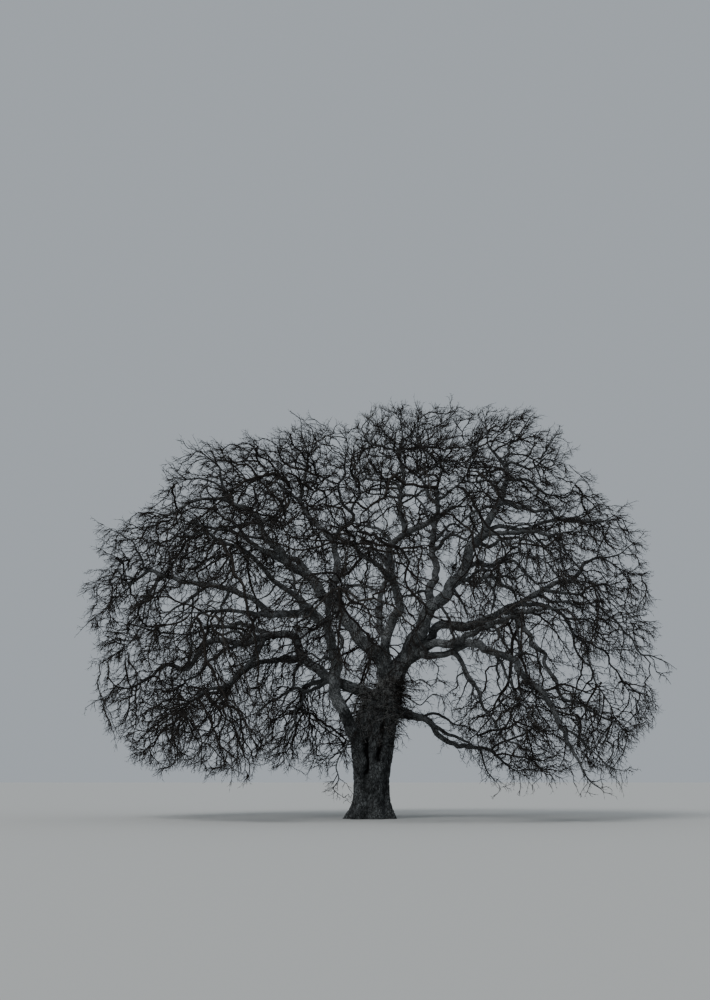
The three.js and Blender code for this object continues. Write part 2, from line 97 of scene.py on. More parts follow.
# Each bough of the frame: its radius at its foot and its tip, its trace's depths, and its trace. A trace is
# in pixels of the frame, with the depths spread evenly along it. A bough without depths has a route instead,
# whose points are right, deep and up in metres.
BOUGHS = (
    ("great_west_bough", (0.33, 0.06), (0.0, -0.3, -0.4, -0.6, -0.8, -1.0, -1.1, -1.0),
     ((390, 684), (384, 668), (380, 663), (369, 652), (357, 639), (346, 628), (337, 612), (333, 604),
      (324, 602), (319, 591), (313, 583), (302, 577), (295, 573), (287, 565), (282, 555), (275, 549),
      (266, 543), (261, 535), (260, 528), (258, 520), (253, 516), (243, 510), (231, 505), (225, 495),
      (221, 487), (218, 477), (218, 469), (214, 464), (200, 454), (190, 449))),
    ("great_east_bough", (0.38, 0.06), (0.0, -0.1, -0.3, -0.4, -0.5, -0.5, -0.5),
     ((392, 684), (397, 675), (408, 658), (414, 642), (422, 628), (431, 613), (439, 607), (451, 591),
      (462, 581), (467, 571), (469, 561), (474, 549), (481, 538), (488, 527), (495, 514), (501, 505),
      (505, 497), (507, 488), (509, 481), (508, 471), (505, 464), (501, 458), (491, 444), (490, 433),
      (489, 423), (487, 412))),
    ("centre_bough", (0.24, 0.08), (0.0, -0.6, -1.2, -1.8, -2.4, -3.0, -3.8, -4.3, -4.6),
     ((391, 682), (386, 663), (385, 646), (389, 632), (395, 621), (399, 610), (398, 598), (395, 587),
      (392, 577), (391, 560), (390, 553), (393, 547), (401, 541), (409, 535), (417, 531), (427, 525),
      (437, 517), (438, 507), (437, 494), (440, 484), (443, 475), (445, 464), (442, 452))),
    ("west_riser_bough", (0.29, 0.2), (-0.4, -0.9, -1.2, -1.35, -1.5, -1.7),
     ((364, 750), (353, 736), (346, 718), (340, 705), (335, 690), (334, 676), (335, 665), (333, 652),
      (329, 638), (321, 626), (318, 619))),
    ("low_west_bough", (0.27, 0.05), (0.3, 0.9, 1.15, 1.2, 1.2, 1.2, 1.2, 1.0),
     ((382, 704), (368, 699), (356, 693), (345, 688), (334, 684), (322, 677), (314, 671), (307, 664),
      (302, 656), (299, 648), (295, 642), (287, 638), (277, 639), (265, 641), (255, 644), (249, 647),
      (239, 647), (229, 644), (217, 644), (208, 647), (204, 651), (200, 658), (194, 666), (189, 672),
      (183, 673), (177, 670), (171, 668), (164, 670), (159, 673), (153, 680), (145, 685), (136, 691),
      (122, 693), (111, 699), (98, 705))),
    ("low_east_bough", (0.18, 0.05), (0.1, 0.6, 1.4, 2.4, 3.4, 4.6, 5.6, 6.6),
     ((387, 716), (398, 716), (411, 720), (422, 720), (430, 727), (437, 737), (447, 743), (458, 748),
      (471, 749), (484, 751), (493, 757), (501, 764), (511, 771), (521, 776))),
    ("far_low_bough", (0.18, 0.08), None,
     ((0.4, 0.3, 5.0), (0.5, 1.8, 5.9), (0.5, 3.6, 6.4), (0.3, 5.4, 6.8), (0.1, 7.4, 7.2), (0, 9.4, 7.7))),
    ("east_bough", (0.22, 0.05), (0.0, 0.2, 0.3, 0.3, 0.2, 0.1, 0.0, 0.0, 0.0),
     ((408, 658), (417, 653), (424, 646), (431, 639), (438, 632), (446, 630), (459, 631), (473, 630),
      (485, 625), (495, 619), (505, 614), (516, 610), (527, 604), (536, 598), (545, 593), (555, 588),
      (566, 587), (573, 583), (580, 575), (583, 568), (590, 564), (600, 561), (607, 564), (618, 571),
      (628, 577), (641, 580))),
    ("near_east_low_bough", (0.21, 0.08), (-0.1, -0.8, -1.7, -2.8, -3.9, -4.8, -5.4, -5.8, -6.0, -6.0),
     ((406, 664), (418, 658), (428, 650), (439, 647), (450, 647), (459, 646), (469, 647), (481, 651),
      (491, 656), (502, 660), (512, 664), (518, 673), (523, 681), (532, 688), (539, 693), (544, 702),
      (549, 712), (554, 722), (559, 732), (562, 742), (567, 750), (572, 759), (577, 770), (583, 780),
      (593, 788))),
    ("far_east_top_bough", (0.19, 0.08), (-0.2, 0.3, 0.9, 1.5, 2.1, 2.6, 3.2, 3.7, 4.2),
     ((431, 612), (430, 602), (431, 592), (435, 582), (436, 572), (434, 560), (433, 548), (435, 537),
      (437, 527), (443, 518), (450, 511), (458, 509), (466, 509), (474, 503))),
    ("east_shoulder_bough", (0.11, 0.05), None,
     ((4.9, -0.4, 12.1), (5.7, -0.1, 12.5), (6.7, 0.1, 12.4), (7.6, 0.2, 12.7), (9.0, 0.3, 12.7),
      (10.9, 0.4, 12.8))),
    ("near_east_shoulder_bough", (0.12, 0.06), (-0.4, -1.6, -3.0, -4.2, -5.4, -6.6),
     ((477, 548), (483, 542), (490, 537), (502, 536), (514, 536), (526, 535), (537, 535), (545, 538),
      (553, 539), (564, 536), (576, 534))),
    ("far_east_shoulder_bough", (0.13, 0.06), (-0.3, 1.2, 2.8, 4.2, 5.6, 7.0),
     ((466, 573), (472, 568), (479, 566), (486, 569), (493, 569), (500, 565), (507, 561), (514, 557),
      (528, 557))),
    ("skirt_east_bough", (0.13, 0.04), (0.2, 0.0, -0.5, -0.9, -1.2, -1.3, -1.4, -1.2, -1.0),
     ((504, 615), (513, 616), (517, 625), (523, 633), (529, 641), (530, 649), (536, 653), (543, 659),
      (541, 667), (546, 675), (552, 683), (555, 694), (560, 702), (569, 705), (578, 707), (583, 712),
      (591, 715), (599, 720), (612, 726), (626, 732))),
    ("far_east_bough", (0.15, 0.07), None,
     ((3.2, 0.3, 8.2), (4.2, 1.6, 8.2), (5.2, 3.1, 8.4), (6.1, 4.6, 8.8), (7.0, 6.1, 8.7), (7.8, 7.4, 8.3))),
    ("near_east_bough", (0.15, 0.06), None,
     ((3.6, -1.35, 7.4), (4.3, -3.0, 7.75), (5.1, -4.4, 8.2), (6.4, -5.5, 8.6), (7.6, -6.5, 8.8),
      (8.6, -7.4, 8.8))),
    ("north_west_bough", (0.17, 0.05), (-0.4, 0.1, 0.7, 1.3, 1.8, 2.0, 2.0, 1.8, 1.4),
     ((334, 609), (333, 598), (335, 586), (337, 575), (338, 566), (336, 555), (335, 545), (329, 537),
      (320, 530), (310, 520), (303, 510), (299, 502), (301, 494), (303, 485), (304, 475), (306, 466),
      (306, 453), (304, 444), (301, 436), (300, 421))),
    ("west_shoulder_bough", (0.12, 0.05), None,
     ((-3.5, -0.7, 10.9), (-4.7, -0.7, 11.5), (-5.7, -0.6, 12.2), (-7.0, -0.5, 12.4), (-8.6, -0.4, 12.9))),
    ("far_west_shoulder_bough", (0.14, 0.06), None,
     ((-2.2, -0.5, 9.9), (-2.9, 1.0, 10.8), (-3.6, 2.4, 11.2), (-4.3, 3.7, 11.5), (-4.9, 4.8, 11.6),
      (-5.6, 6.0, 11.9))),
    ("crest_bough", (0.12, 0.04), (-2.8, -2.3, -1.8, -1.3, -0.9, -0.5, -0.3, 0.0),
     ((406, 537), (405, 527), (401, 516), (401, 503), (402, 492), (404, 483), (406, 475), (403, 468),
      (401, 460), (401, 450), (404, 440), (403, 428), (402, 417), (405, 406))),
    ("far_bough", (0.16, 0.07), (-0.5, 0.6, 2.0, 3.4, 4.8, 6.2, 7.6),
     ((386, 645), (381, 634), (379, 623), (379, 611), (380, 599), (385, 589), (389, 579), (387, 570),
      (383, 562), (377, 554), (373, 550), (373, 545))),
    ("near_bough", (0.13, 0.06), (-1.8, -3.2, -4.6, -6.2, -7.6),
     ((393, 583), (386, 577), (378, 569), (370, 564), (363, 559), (357, 552), (355, 545), (357, 532))),
    ("west_bough", (0.17, 0.05), (-1.65, -1.8, -1.7, -1.6, -1.5, -1.4, -1.3, -1.2, -1.1, -1.0),
     ((322, 626), (312, 619), (301, 617), (289, 618), (275, 618), (267, 613), (259, 606), (251, 601),
      (241, 598), (231, 593), (220, 591), (210, 588), (200, 588), (190, 586), (180, 585), (173, 582),
      (165, 580), (159, 579), (155, 575), (150, 573), (143, 577), (134, 584), (122, 586), (108, 588),
      (90, 585))),
    ("near_west_shoulder_bough", (0.15, 0.05), (-1.6, -2.1, -2.8, -3.4, -4.0, -4.6, -5.0),
     ((323, 628), (315, 616), (307, 609), (298, 602), (292, 597), (284, 592), (276, 586), (269, 578),
      (263, 571), (256, 563), (249, 557), (241, 551), (233, 549), (223, 545), (212, 540), (202, 531),
      (194, 524), (187, 518), (180, 513))),
    ("near_low_bough", (0.15, 0.07), None,
     ((-1.55, -1.35, 6.9), (-1.75, -3.0, 8.2), (-1.7, -4.6, 9.1), (-1.5, -6.2, 9.7), (-1.2, -8.0, 9.9))),
    ("near_west_bough", (0.12, 0.06), None,
     ((-3.2, -1.8, 8.7), (-4.3, -3.0, 8.6), (-5.5, -4.2, 8.8), (-6.8, -5.4, 8.8), (-7.9, -6.4, 8.7))),
    ("far_west_bough", (0.13, 0.07), None,
     ((-4.1, 1.2, 7.7), (-5.1, 2.5, 8.1), (-6.0, 3.9, 8.2), (-6.8, 5.2, 8.1), (-7.4, 6.6, 8.0))),
    ("skirt_near_west_bough", (0.12, 0.05), None,
     ((-4.6, 1.2, 7.55), (-4.9, 0.3, 6.8), (-5.5, -0.8, 6.2), (-6.2, -2.2, 5.6), (-7.0, -3.6, 5.3),
      (-8.0, -5.0, 4.6))),
    ("skirt_far_west_bough", (0.14, 0.06), None,
     ((-2.6, 1.1, 6.6), (-3.7, 2.2, 6.7), (-4.8, 3.4, 6.5), (-5.8, 4.6, 5.7), (-6.5, 5.6, 4.9),
      (-7.0, 6.6, 4.3))),
    ("skirt_far_bough", (0.13, 0.06), None,
     ((-1.6, 0.85, 5.9), (-2.5, 2.2, 5.6), (-2.8, 3.6, 5.5), (-2.9, 5.0, 5.1), (-2.8, 6.4, 4.5),
      (-2.6, 7.8, 4.0))),
)

# Side limbs, too thin for the frame: name, the limb that carries it, its widths in pixels at its foot and its
# tip, the depths after its foot, and its trace. Its foot moves onto the nearest point of its parent.
SIDE_LIMBS = (
    ("west_arm_high", "great_west_bough", (3.2, 1.2), (0.0, 0.5),
     ((259, 526), (249, 526), (237, 529), (223, 531), (214, 531), (203, 536))),
    ("west_arm_mid", "great_west_bough", (3.0, 1.2), (-1.2, -1.8),
     ((264, 541), (251, 540), (243, 536), (237, 530), (228, 523))),
    ("west_arm_inner", "great_west_bough", (3.4, 1.4), (-1.4, -2.2),
     ((260, 527), (265, 523), (272, 520), (277, 512), (287, 505), (291, 494))),
    ("west_arch", "great_west_bough", (4.2, 2.6), (-0.5, -0.9),
     ((335, 603), (341, 596), (346, 592), (354, 589), (364, 589), (373, 592), (380, 594))),
    ("north_west_fork", "north_west_bough", (4.2, 1.0), (2.6, 3.2, 3.0),
     ((302, 507), (294, 499), (288, 494), (283, 488), (276, 483), (268, 483), (259, 484), (249, 487),
      (240, 492))),
    ("north_west_arch", "north_west_bough", (2.6, 1.0), (1.3, 0.4),
     ((304, 468), (297, 463), (290, 463), (283, 465), (278, 470), (268, 468))),
    ("north_arm", "north_west_bough", (4.4, 1.6), (0.2, -0.9, -2.0, -2.6),
     ((336, 543), (342, 531), (349, 527), (354, 521), (352, 515), (346, 508), (341, 500), (338, 485),
      (344, 476), (344, 462), (347, 450), (346, 438))),
    ("north_rise", "north_arm", (3.6, 1.0), (-0.4, 0.2, 0.6),
     ((352, 514), (355, 505), (360, 498), (359, 491), (356, 484), (356, 475), (353, 467), (348, 459),
      (342, 452))),
    ("north_twig_low", "north_arm", (1.9, 0.8), (-0.8, -0.6),
     ((343, 503), (334, 508), (324, 510), (318, 519))),
    ("north_twig_high", "north_arm", (1.9, 0.8), (-1.4, -1.8),
     ((339, 486), (330, 483), (323, 480), (318, 487), (313, 494))),
    ("north_spike", "north_west_bough", (2.2, 0.8), (1.2, 0.6),
     ((306, 456), (313, 448), (317, 440), (325, 434), (327, 428))),
    ("centre_arm", "centre_bough", (3.6, 1.6), (-1.4, -0.4, 0.4),
     ((391, 570), (386, 566), (380, 560), (371, 553), (362, 549), (354, 549), (346, 543))),
    ("centre_arch", "centre_bough", (3.8, 1.8), (-2.2, -1.6, -1.0),
     ((392, 547), (388, 540), (380, 533), (369, 530), (355, 526), (346, 521))),
    ("centre_loop", "centre_bough", (3.6, 1.8), (-3.4, -2.4, -1.2),
     ((438, 507), (432, 500), (427, 490), (423, 480), (415, 475), (408, 473))),
    ("centre_top_arm", "centre_bough", (3.0, 1.0), (-4.6, -4.9),
     ((438, 502), (445, 499), (452, 492), (461, 485), (468, 476), (476, 470))),
    ("centre_cross_arm", "centre_bough", (3.4, 1.4), (-4.2, -3.2, -2.2, -1.4),
     ((444, 463), (451, 465), (460, 465), (469, 464), (478, 465), (486, 463), (490, 471), (496, 479),
      (506, 479))),
    ("centre_spike", "centre_cross_arm", (2.8, 0.8), (-2.2, -2.0, -1.6),
     ((484, 463), (478, 455), (473, 448), (467, 443), (464, 437), (464, 431), (459, 425), (458, 417),
      (458, 408))),
    ("loop_rise", "centre_loop", (3.0, 1.0), (-1.4, -1.0, -0.6),
     ((417, 477), (418, 467), (419, 455), (418, 443), (414, 437), (417, 428), (420, 420))),
    ("loop_link", "centre_loop", (3.4, 2.8), (-2.6, -3.8), ((421, 478), (428, 473), (435, 469), (443, 462))),
    ("arch_rise", "centre_arch", (2.2, 1.0), (-1.0, -0.8),
     ((370, 530), (369, 519), (369, 510), (366, 505), (368, 498))),
    ("crest_arm_low", "crest_bough", (2.6, 1.0), (-2.0, -2.6),
     ((401, 500), (390, 499), (380, 497), (370, 497), (360, 490))),
    ("crest_arm_high", "crest_bough", (3.0, 1.2), (-1.4, -2.0),
     ((402, 490), (390, 490), (380, 491), (364, 494), (358, 499), (354, 507))),
    ("crest_arm_top", "crest_bough", (3.0, 1.0), (-0.6, -1.0, -1.2),
     ((403, 456), (396, 450), (388, 449), (378, 445), (370, 444), (365, 437), (359, 431), (350, 430))),
    ("crest_arm_wave", "crest_bough", (3.0, 1.0), (-1.2, -1.8, -2.0),
     ((404, 473), (398, 475), (393, 479), (386, 480), (381, 475), (374, 474), (368, 475), (362, 472),
      (355, 472))),
    ("crest_arm_mid", "crest_bough", (3.2, 1.2), (-0.8, -0.2, 0.4),
     ((402, 492), (398, 486), (391, 484), (382, 483), (374, 482), (366, 480), (358, 479), (352, 473))),
    ("crest_link", "crest_bough", (2.8, 2.2), (-2.0, -3.0),
     ((403, 498), (411, 497), (417, 498), (422, 493), (429, 492))),
    ("crest_fork_west", "crest_bough", (2.2, 0.8), (-0.2, 0.6),
     ((401, 452), (394, 444), (388, 437), (380, 431), (374, 422))),
    ("crest_fork_east", "crest_bough", (2.2, 0.8), (0.2, 0.9),
     ((404, 440), (411, 434), (417, 427), (426, 421), (430, 414))),
    ("crossing", "far_east_top_bough", (3.0, 2.0), (0.0, -0.8, -1.6),
     ((430, 598), (424, 595), (415, 598), (406, 600), (399, 602))),
    ("rise_arch", "far_east_top_bough", (4.6, 2.8), (1.2, 0.4, -0.2),
     ((434, 553), (439, 551), (446, 542), (454, 538), (460, 539), (467, 543), (475, 547))),
    ("rise_arm", "far_east_top_bough", (3.6, 1.6), (2.2, 2.6),
     ((434, 545), (441, 539), (448, 530), (455, 526), (462, 530), (470, 528))),
    ("rise_back_arm", "far_east_top_bough", (3.6, 1.4), (4.0, 5.2, 5.8),
     ((436, 530), (428, 520), (424, 508), (416, 498), (418, 486), (412, 476))),
    ("east_top_fork", "great_east_bough", (3.2, 1.0), (0.2, 1.0, 1.4),
     ((508, 478), (510, 465), (508, 459), (512, 453), (511, 446), (516, 440), (514, 428), (515, 420),
      (524, 412))),
    ("east_top_arm", "great_east_bough", (3.6, 1.0), (0.0, 0.5, 0.9),
     ((508, 481), (517, 481), (529, 481), (539, 489), (548, 497), (558, 499), (568, 500), (578, 486),
      (585, 475))),
    ("east_top_near_arm", "great_east_bough", (3.2, 1.0), (-0.9, -1.5, -2.0),
     ((507, 468), (513, 463), (525, 468), (534, 471), (543, 465), (547, 460), (560, 462), (572, 466))),
    ("east_top_spike", "east_top_near_arm", (2.2, 0.8), (-1.8, -2.2),
     ((543, 465), (545, 457), (549, 450), (554, 442), (560, 434))),
    ("east_top_link", "east_top_fork", (2.2, 1.2), (0.4, -0.6),
     ((511, 454), (520, 455), (529, 456), (536, 460), (543, 464), (551, 470), (557, 477))),
    ("east_back_arm", "great_east_bough", (3.4, 1.2), (0.6, 1.4, 1.8),
     ((504, 498), (498, 491), (499, 484), (490, 482), (480, 483), (472, 484), (464, 482), (457, 477),
      (450, 477))),
    ("east_cross_arm", "great_east_bough", (3.6, 2.0), (-1.2, -2.0),
     ((499, 508), (490, 509), (481, 513), (474, 516), (467, 522), (461, 529))),
    ("east_long_arm", "great_east_bough", (4.8, 1.0), (-0.8, -1.2, -1.4, -1.2, -0.6),
     ((500, 506), (511, 505), (519, 510), (527, 509), (533, 513), (544, 513), (552, 514), (556, 520),
      (566, 522), (577, 521), (587, 524), (601, 526), (613, 521), (622, 514))),
    ("east_mid_arm", "great_east_bough", (4.2, 1.8), (-1.0, -1.8, -2.2),
     ((476, 547), (482, 547), (489, 550), (496, 547), (504, 542), (514, 541), (523, 542), (533, 546),
      (542, 550), (551, 555), (560, 552))),
    ("mid_under", "east_mid_arm", (3.2, 1.6), (-1.6, -1.4),
     ((503, 542), (507, 547), (513, 550), (519, 551), (521, 556), (527, 560), (538, 561), (546, 566))),
    ("mid_drop", "east_mid_arm", (2.6, 1.2), (-2.0, -1.2),
     ((549, 553), (553, 558), (558, 565), (559, 571), (564, 578), (568, 584))),
    ("shoulder_tip", "near_east_shoulder_bough", (3.2, 1.0), (-5.2, -4.4, -3.8),
     ((564, 538), (573, 535), (580, 535), (587, 534), (593, 532), (600, 532), (609, 536))),
    ("shoulder_arch", "near_east_shoulder_bough", (2.4, 1.2), (-3.0, -3.6),
     ((505, 535), (511, 532), (519, 529), (528, 528), (537, 531), (545, 537))),
    ("shoulder_cross", "near_east_shoulder_bough", (2.6, 1.8), (-4.0, -3.0),
     ((532, 535), (538, 543), (544, 549), (549, 553))),
    ("shoulder_drop_east", "near_east_shoulder_bough", (2.6, 1.0), (-5.6, -5.0, -4.4),
     ((562, 540), (565, 548), (568, 556), (573, 563), (579, 570), (584, 577), (589, 583), (594, 590))),
    ("shoulder_drop_west", "near_east_shoulder_bough", (2.4, 1.0), (-5.6, -5.2),
     ((560, 540), (562, 551), (562, 560), (564, 569), (567, 578))),
    ("shoulder_fall", "far_east_shoulder_bough", (2.8, 1.4), (5.4, 4.4, 3.0),
     ((522, 557), (531, 558), (541, 565), (550, 568), (555, 574), (558, 582), (560, 588))),
    ("shoulder_descent", "far_east_shoulder_bough", (4.0, 2.4), (2.6, 1.8, 1.0),
     ((499, 567), (507, 566), (515, 565), (520, 571), (526, 577), (533, 583), (539, 589), (545, 593))),
    ("fork_drop", "great_east_bough", (3.2, 1.8), (-0.5, -0.3),
     ((453, 591), (457, 598), (461, 604), (464, 611), (467, 620), (468, 626))),
    ("east_link", "great_east_bough", (3.6, 2.6), (0.6, 1.6),
     ((462, 586), (468, 583), (474, 579), (482, 574), (493, 573))),
    ("east_under_arm", "great_east_bough", (4.8, 3.0), (-0.6, -0.4, 0.1),
     ((458, 587), (467, 585), (474, 588), (481, 584), (486, 581), (495, 582), (502, 588), (513, 594),
      (516, 602), (519, 608))),
    ("under_drop", "east_under_arm", (3.2, 2.0), (-0.8, -0.3),
     ((486, 583), (490, 590), (494, 597), (493, 606), (491, 615), (489, 622))),
    ("east_rise_arm", "east_under_arm", (3.0, 1.2), (-1.6, -2.6),
     ((497, 583), (506, 580), (515, 584), (524, 580), (533, 582), (541, 576))),
    ("east_tip_arm", "east_bough", (2.2, 0.8), (0.5, 1.0),
     ((604, 563), (612, 560), (620, 558), (629, 551), (640, 541))),
    ("east_fork", "east_bough", (4.2, 1.2), (-0.6, -1.2, -1.6),
     ((544, 594), (552, 596), (566, 598), (581, 598), (588, 593), (596, 591), (604, 589), (613, 591),
      (626, 592))),
    ("east_arch", "east_bough", (3.2, 2.2), (-0.6, -1.2),
     ((556, 587), (566, 585), (574, 587), (580, 591), (584, 597))),
    ("fork_strand_first", "east_fork", (2.0, 0.7), (-1.6, -1.9),
     ((594, 592), (601, 603), (609, 613), (613, 622), (620, 631))),
    ("fork_strand_second", "east_fork", (2.0, 0.7), (-1.2, -0.9),
     ((598, 591), (605, 602), (612, 610), (618, 617), (627, 627))),
    ("fork_strand_third", "east_fork", (2.0, 0.7), (-1.7, -2.2),
     ((603, 590), (609, 598), (615, 606), (622, 613), (631, 621), (638, 628))),
    ("east_drop", "east_fork", (3.6, 1.7), (-1.4, -1.8, -2.2, -2.6),
     ((580, 598), (586, 604), (592, 611), (597, 611), (603, 618), (611, 624), (615, 628), (621, 637),
      (628, 643), (633, 653), (638, 660), (647, 661), (656, 664), (664, 667), (671, 672))),
    ("east_bow", "east_bough", (4.4, 1.0), (0.6, 1.2, 1.6, 1.6),
     ((519, 609), (528, 609), (538, 608), (548, 611), (559, 616), (566, 623), (570, 632), (573, 638),
      (581, 644), (587, 645), (595, 651), (602, 654), (606, 660), (607, 667), (614, 675), (620, 689),
      (629, 702), (639, 714))),
    ("bow_upper_arm", "east_bow", (3.2, 1.0), (1.4, 1.0, 0.6),
     ((566, 622), (575, 624), (585, 624), (589, 628), (591, 633), (597, 638), (602, 645), (609, 652))),
    ("bow_drop", "east_bow", (3.4, 1.8), (1.1, 0.6),
     ((580, 644), (585, 651), (585, 660), (588, 668), (590, 677))),
    ("drop_fall", "east_drop", (2.4, 0.9), (-1.6, -1.4),
     ((620, 638), (621, 646), (618, 654), (617, 664), (613, 672))),
    ("east_under_bow", "east_bough", (3.6, 1.2), (0.5, 0.1, -0.3),
     ((528, 604), (540, 600), (550, 605), (559, 606), (568, 606), (576, 610), (585, 615), (592, 622))),
    ("plunge_inner", "skirt_east_bough", (2.6, 1.4), (-0.2, -0.8),
     ((513, 616), (516, 630), (518, 640), (519, 650), (518, 659))),
    ("between_limbs", "east_bough", (3.8, 2.2), (-0.4, -1.2, -2.2),
     ((472, 627), (483, 632), (491, 632), (496, 637), (500, 642), (505, 648), (511, 653), (517, 658))),
    ("east_bow_fork", "east_bow", (2.8, 0.9), (1.0, 0.4, 0.2),
     ((572, 638), (573, 653), (582, 666), (588, 671), (591, 684), (599, 697), (606, 707), (611, 722),
      (617, 735))),
    ("low_fork_east", "near_east_low_bough", (2.4, 0.8), (-5.2, -4.8),
     ((559, 732), (566, 734), (577, 742), (590, 754), (599, 764), (608, 770), (622, 771))),
    ("low_fork_near", "near_east_low_bough", (3.4, 1.2), (-3.2, -4.6, -5.6),
     ((486, 650), (495, 659), (501, 668), (505, 679), (512, 690), (515, 703), (523, 713), (526, 727))),
    ("limb_tie", "near_east_low_bough", (2.6, 1.2), (-2.8, -2.2, -1.8),
     ((510, 662), (519, 657), (527, 659), (534, 662), (540, 671), (547, 679))),
    ("low_twin", "near_east_low_bough", (7.4, 4.6), (-0.6, -1.2, -1.7),
     ((420, 654), (428, 660), (436, 659), (446, 658), (456, 654), (467, 650), (476, 647))),
    ("low_hang", "low_twin", (5.0, 1.2), (-1.8, -2.6, -3.0, -3.2),
     ((450, 652), (459, 663), (465, 675), (472, 687), (477, 697), (478, 706), (484, 715), (491, 722),
      (497, 733), (502, 742), (512, 745), (520, 752), (526, 761), (535, 770))),
    ("hang_upper", "great_east_bough", (2.8, 2.6), (-1.2, -1.9, -2.0),
     ((439, 608), (445, 618), (448, 625), (449, 634), (452, 643), (451, 651), (451, 657))),
    ("hang_whip", "low_hang", (1.9, 0.7), (-2.3, -2.7),
     ((461, 676), (456, 681), (457, 691), (451, 695), (445, 699), (436, 696))),
    ("hang_side", "low_hang", (2.2, 0.9), (-2.6, -2.9),
     ((460, 667), (464, 682), (470, 690), (471, 698), (477, 708), (476, 718))),
    ("low_east_drop", "low_east_bough", (2.4, 0.9), (5.0, 5.6),
     ((478, 751), (481, 761), (484, 771), (490, 779), (496, 786))),
    ("low_east_fork", "low_east_bough", (3.2, 1.0), (1.6, 2.4, 3.4),
     ((421, 720), (431, 716), (441, 719), (452, 727), (463, 729), (474, 737))),
    ("low_east_twin", "low_east_bough", (7.6, 1.6), (0.1, 0.6, 1.4, 2.2),
     ((392, 708), (402, 713), (413, 717), (425, 722), (436, 730), (446, 737), (458, 741), (470, 747),
      (480, 757))),
    ("fork_whip_low", "great_east_bough", (1.9, 0.8), (-0.2, -0.5),
     ((395, 688), (402, 697), (410, 702), (419, 707), (426, 701), (432, 697), (443, 700), (452, 694))),
    ("fork_whip_high", "great_east_bough", (1.7, 0.7), (-0.6, -1.0),
     ((400, 672), (406, 676), (412, 684), (421, 682), (429, 688), (438, 684), (447, 687))),
    ("twin_whip", "low_twin", (1.7, 0.7), (-1.4, -1.8),
     ((430, 656), (431, 664), (437, 671), (436, 680), (443, 687), (441, 695))),
    ("hang_first", "near_east_low_bough", (2.3, 0.9), (-2.6, -2.9, -3.0),
     ((499, 656), (497, 664), (496, 672), (498, 680), (496, 685), (499, 693), (505, 702), (501, 708),
      (499, 714), (492, 718))),
    ("hang_second", "near_east_low_bough", (2.2, 0.8), (-3.2, -3.4),
     ((508, 662), (510, 668), (509, 680), (512, 693), (515, 703), (522, 713))),
    ("hang_third", "near_east_low_bough", (2.0, 0.8), (-3.8, -4.0),
     ((516, 670), (517, 683), (518, 695), (524, 706), (529, 715))),
    ("foot_whip", "west_riser_bough", (1.9, 0.7), (-1.2, -1.9, -2.2),
     ((352, 738), (346, 748), (340, 756), (336, 768), (339, 779), (334, 788), (343, 796), (351, 800))),
    ("riser_spur", "west_riser_bough", (3.0, 1.2), (-2.2, -3.0),
     ((334, 667), (326, 661), (319, 663), (311, 657), (304, 659), (297, 667))),
    ("riser_twin", "west_riser_bough", (4.6, 2.4), (-0.6, 0.0, 0.6),
     ((334, 680), (342, 669), (341, 656), (344, 644), (338, 634), (339, 622))),
    ("west_crown_arm", "great_west_bough", (4.0, 1.0), (-1.6, -2.2, -2.2, -1.8),
     ((230, 504), (221, 501), (210, 501), (200, 501), (190, 504), (182, 509), (175, 514), (166, 518),
      (158, 522), (152, 528), (146, 534), (142, 541))),
    ("west_top_arm", "great_west_bough", (2.6, 0.8), (-0.8, -0.4),
     ((221, 489), (211, 483), (203, 481), (197, 480), (189, 481), (181, 481), (174, 485))),
    ("west_flank_arm", "near_west_shoulder_bough", (3.2, 1.0), (-4.6, -4.4, -4.0),
     ((207, 537), (196, 537), (188, 540), (181, 536), (175, 538), (171, 545), (167, 552), (160, 559))),
    ("west_up_arm", "west_bough", (4.0, 2.0), (-1.2, -0.8),
     ((302, 618), (300, 604), (295, 592), (293, 580), (288, 570), (281, 566))),
    ("west_link", "west_bough", (3.6, 2.2), (-0.8, 0.4, 1.0),
     ((266, 613), (257, 622), (254, 632), (249, 640), (243, 646))),
    ("west_fall_inner", "west_bough", (3.2, 1.0), (-2.0, -2.4),
     ((230, 593), (226, 603), (223, 611), (223, 622), (219, 629), (210, 634), (200, 642))),
    ("west_fall_arch", "west_bough", (2.4, 0.9), (-1.0, -0.8),
     ((182, 586), (178, 591), (169, 591), (163, 593), (158, 599), (154, 606), (150, 614), (146, 624))),
    ("west_end_high", "west_bough", (2.2, 0.8), (-0.6, -0.2),
     ((134, 584), (128, 580), (121, 578), (116, 573), (118, 566), (124, 560))),
    ("west_end_low", "west_bough", (2.2, 0.8), (-1.4, -1.6),
     ((134, 584), (127, 592), (119, 599), (112, 606), (104, 614), (98, 621))),
    ("west_rise", "west_bough", (2.6, 0.8), (-1.4, -1.8, -1.8),
     ((150, 577), (143, 571), (141, 565), (138, 559), (134, 554), (131, 546), (121, 540), (114, 536),
      (102, 530))),
    ("west_fall", "west_bough", (4.2, 1.2), (-2.0, -2.6, -2.8),
     ((210, 588), (202, 593), (195, 597), (185, 605), (175, 612), (165, 622), (158, 634))),
    ("west_hang_first", "west_fall", (2.2, 0.8), (-1.8, -1.7),
     ((192, 598), (193, 605), (192, 616), (192, 624), (190, 632), (190, 641))),
    ("west_hang_second", "west_fall", (2.4, 0.8), (-2.2, -2.4),
     ((186, 602), (184, 608), (183, 616), (182, 624), (181, 633))),
    ("west_fall_outer", "west_bough", (4.0, 0.9), (-0.8, -0.4, 0.0),
     ((163, 579), (155, 588), (149, 599), (141, 607), (137, 620), (129, 631), (126, 645))),
    ("west_low_arm", "low_west_bough", (3.6, 1.2), (0.8, 0.2, 0.0),
     ((247, 646), (241, 637), (234, 635), (223, 638), (214, 635), (206, 638), (197, 641), (188, 640))),
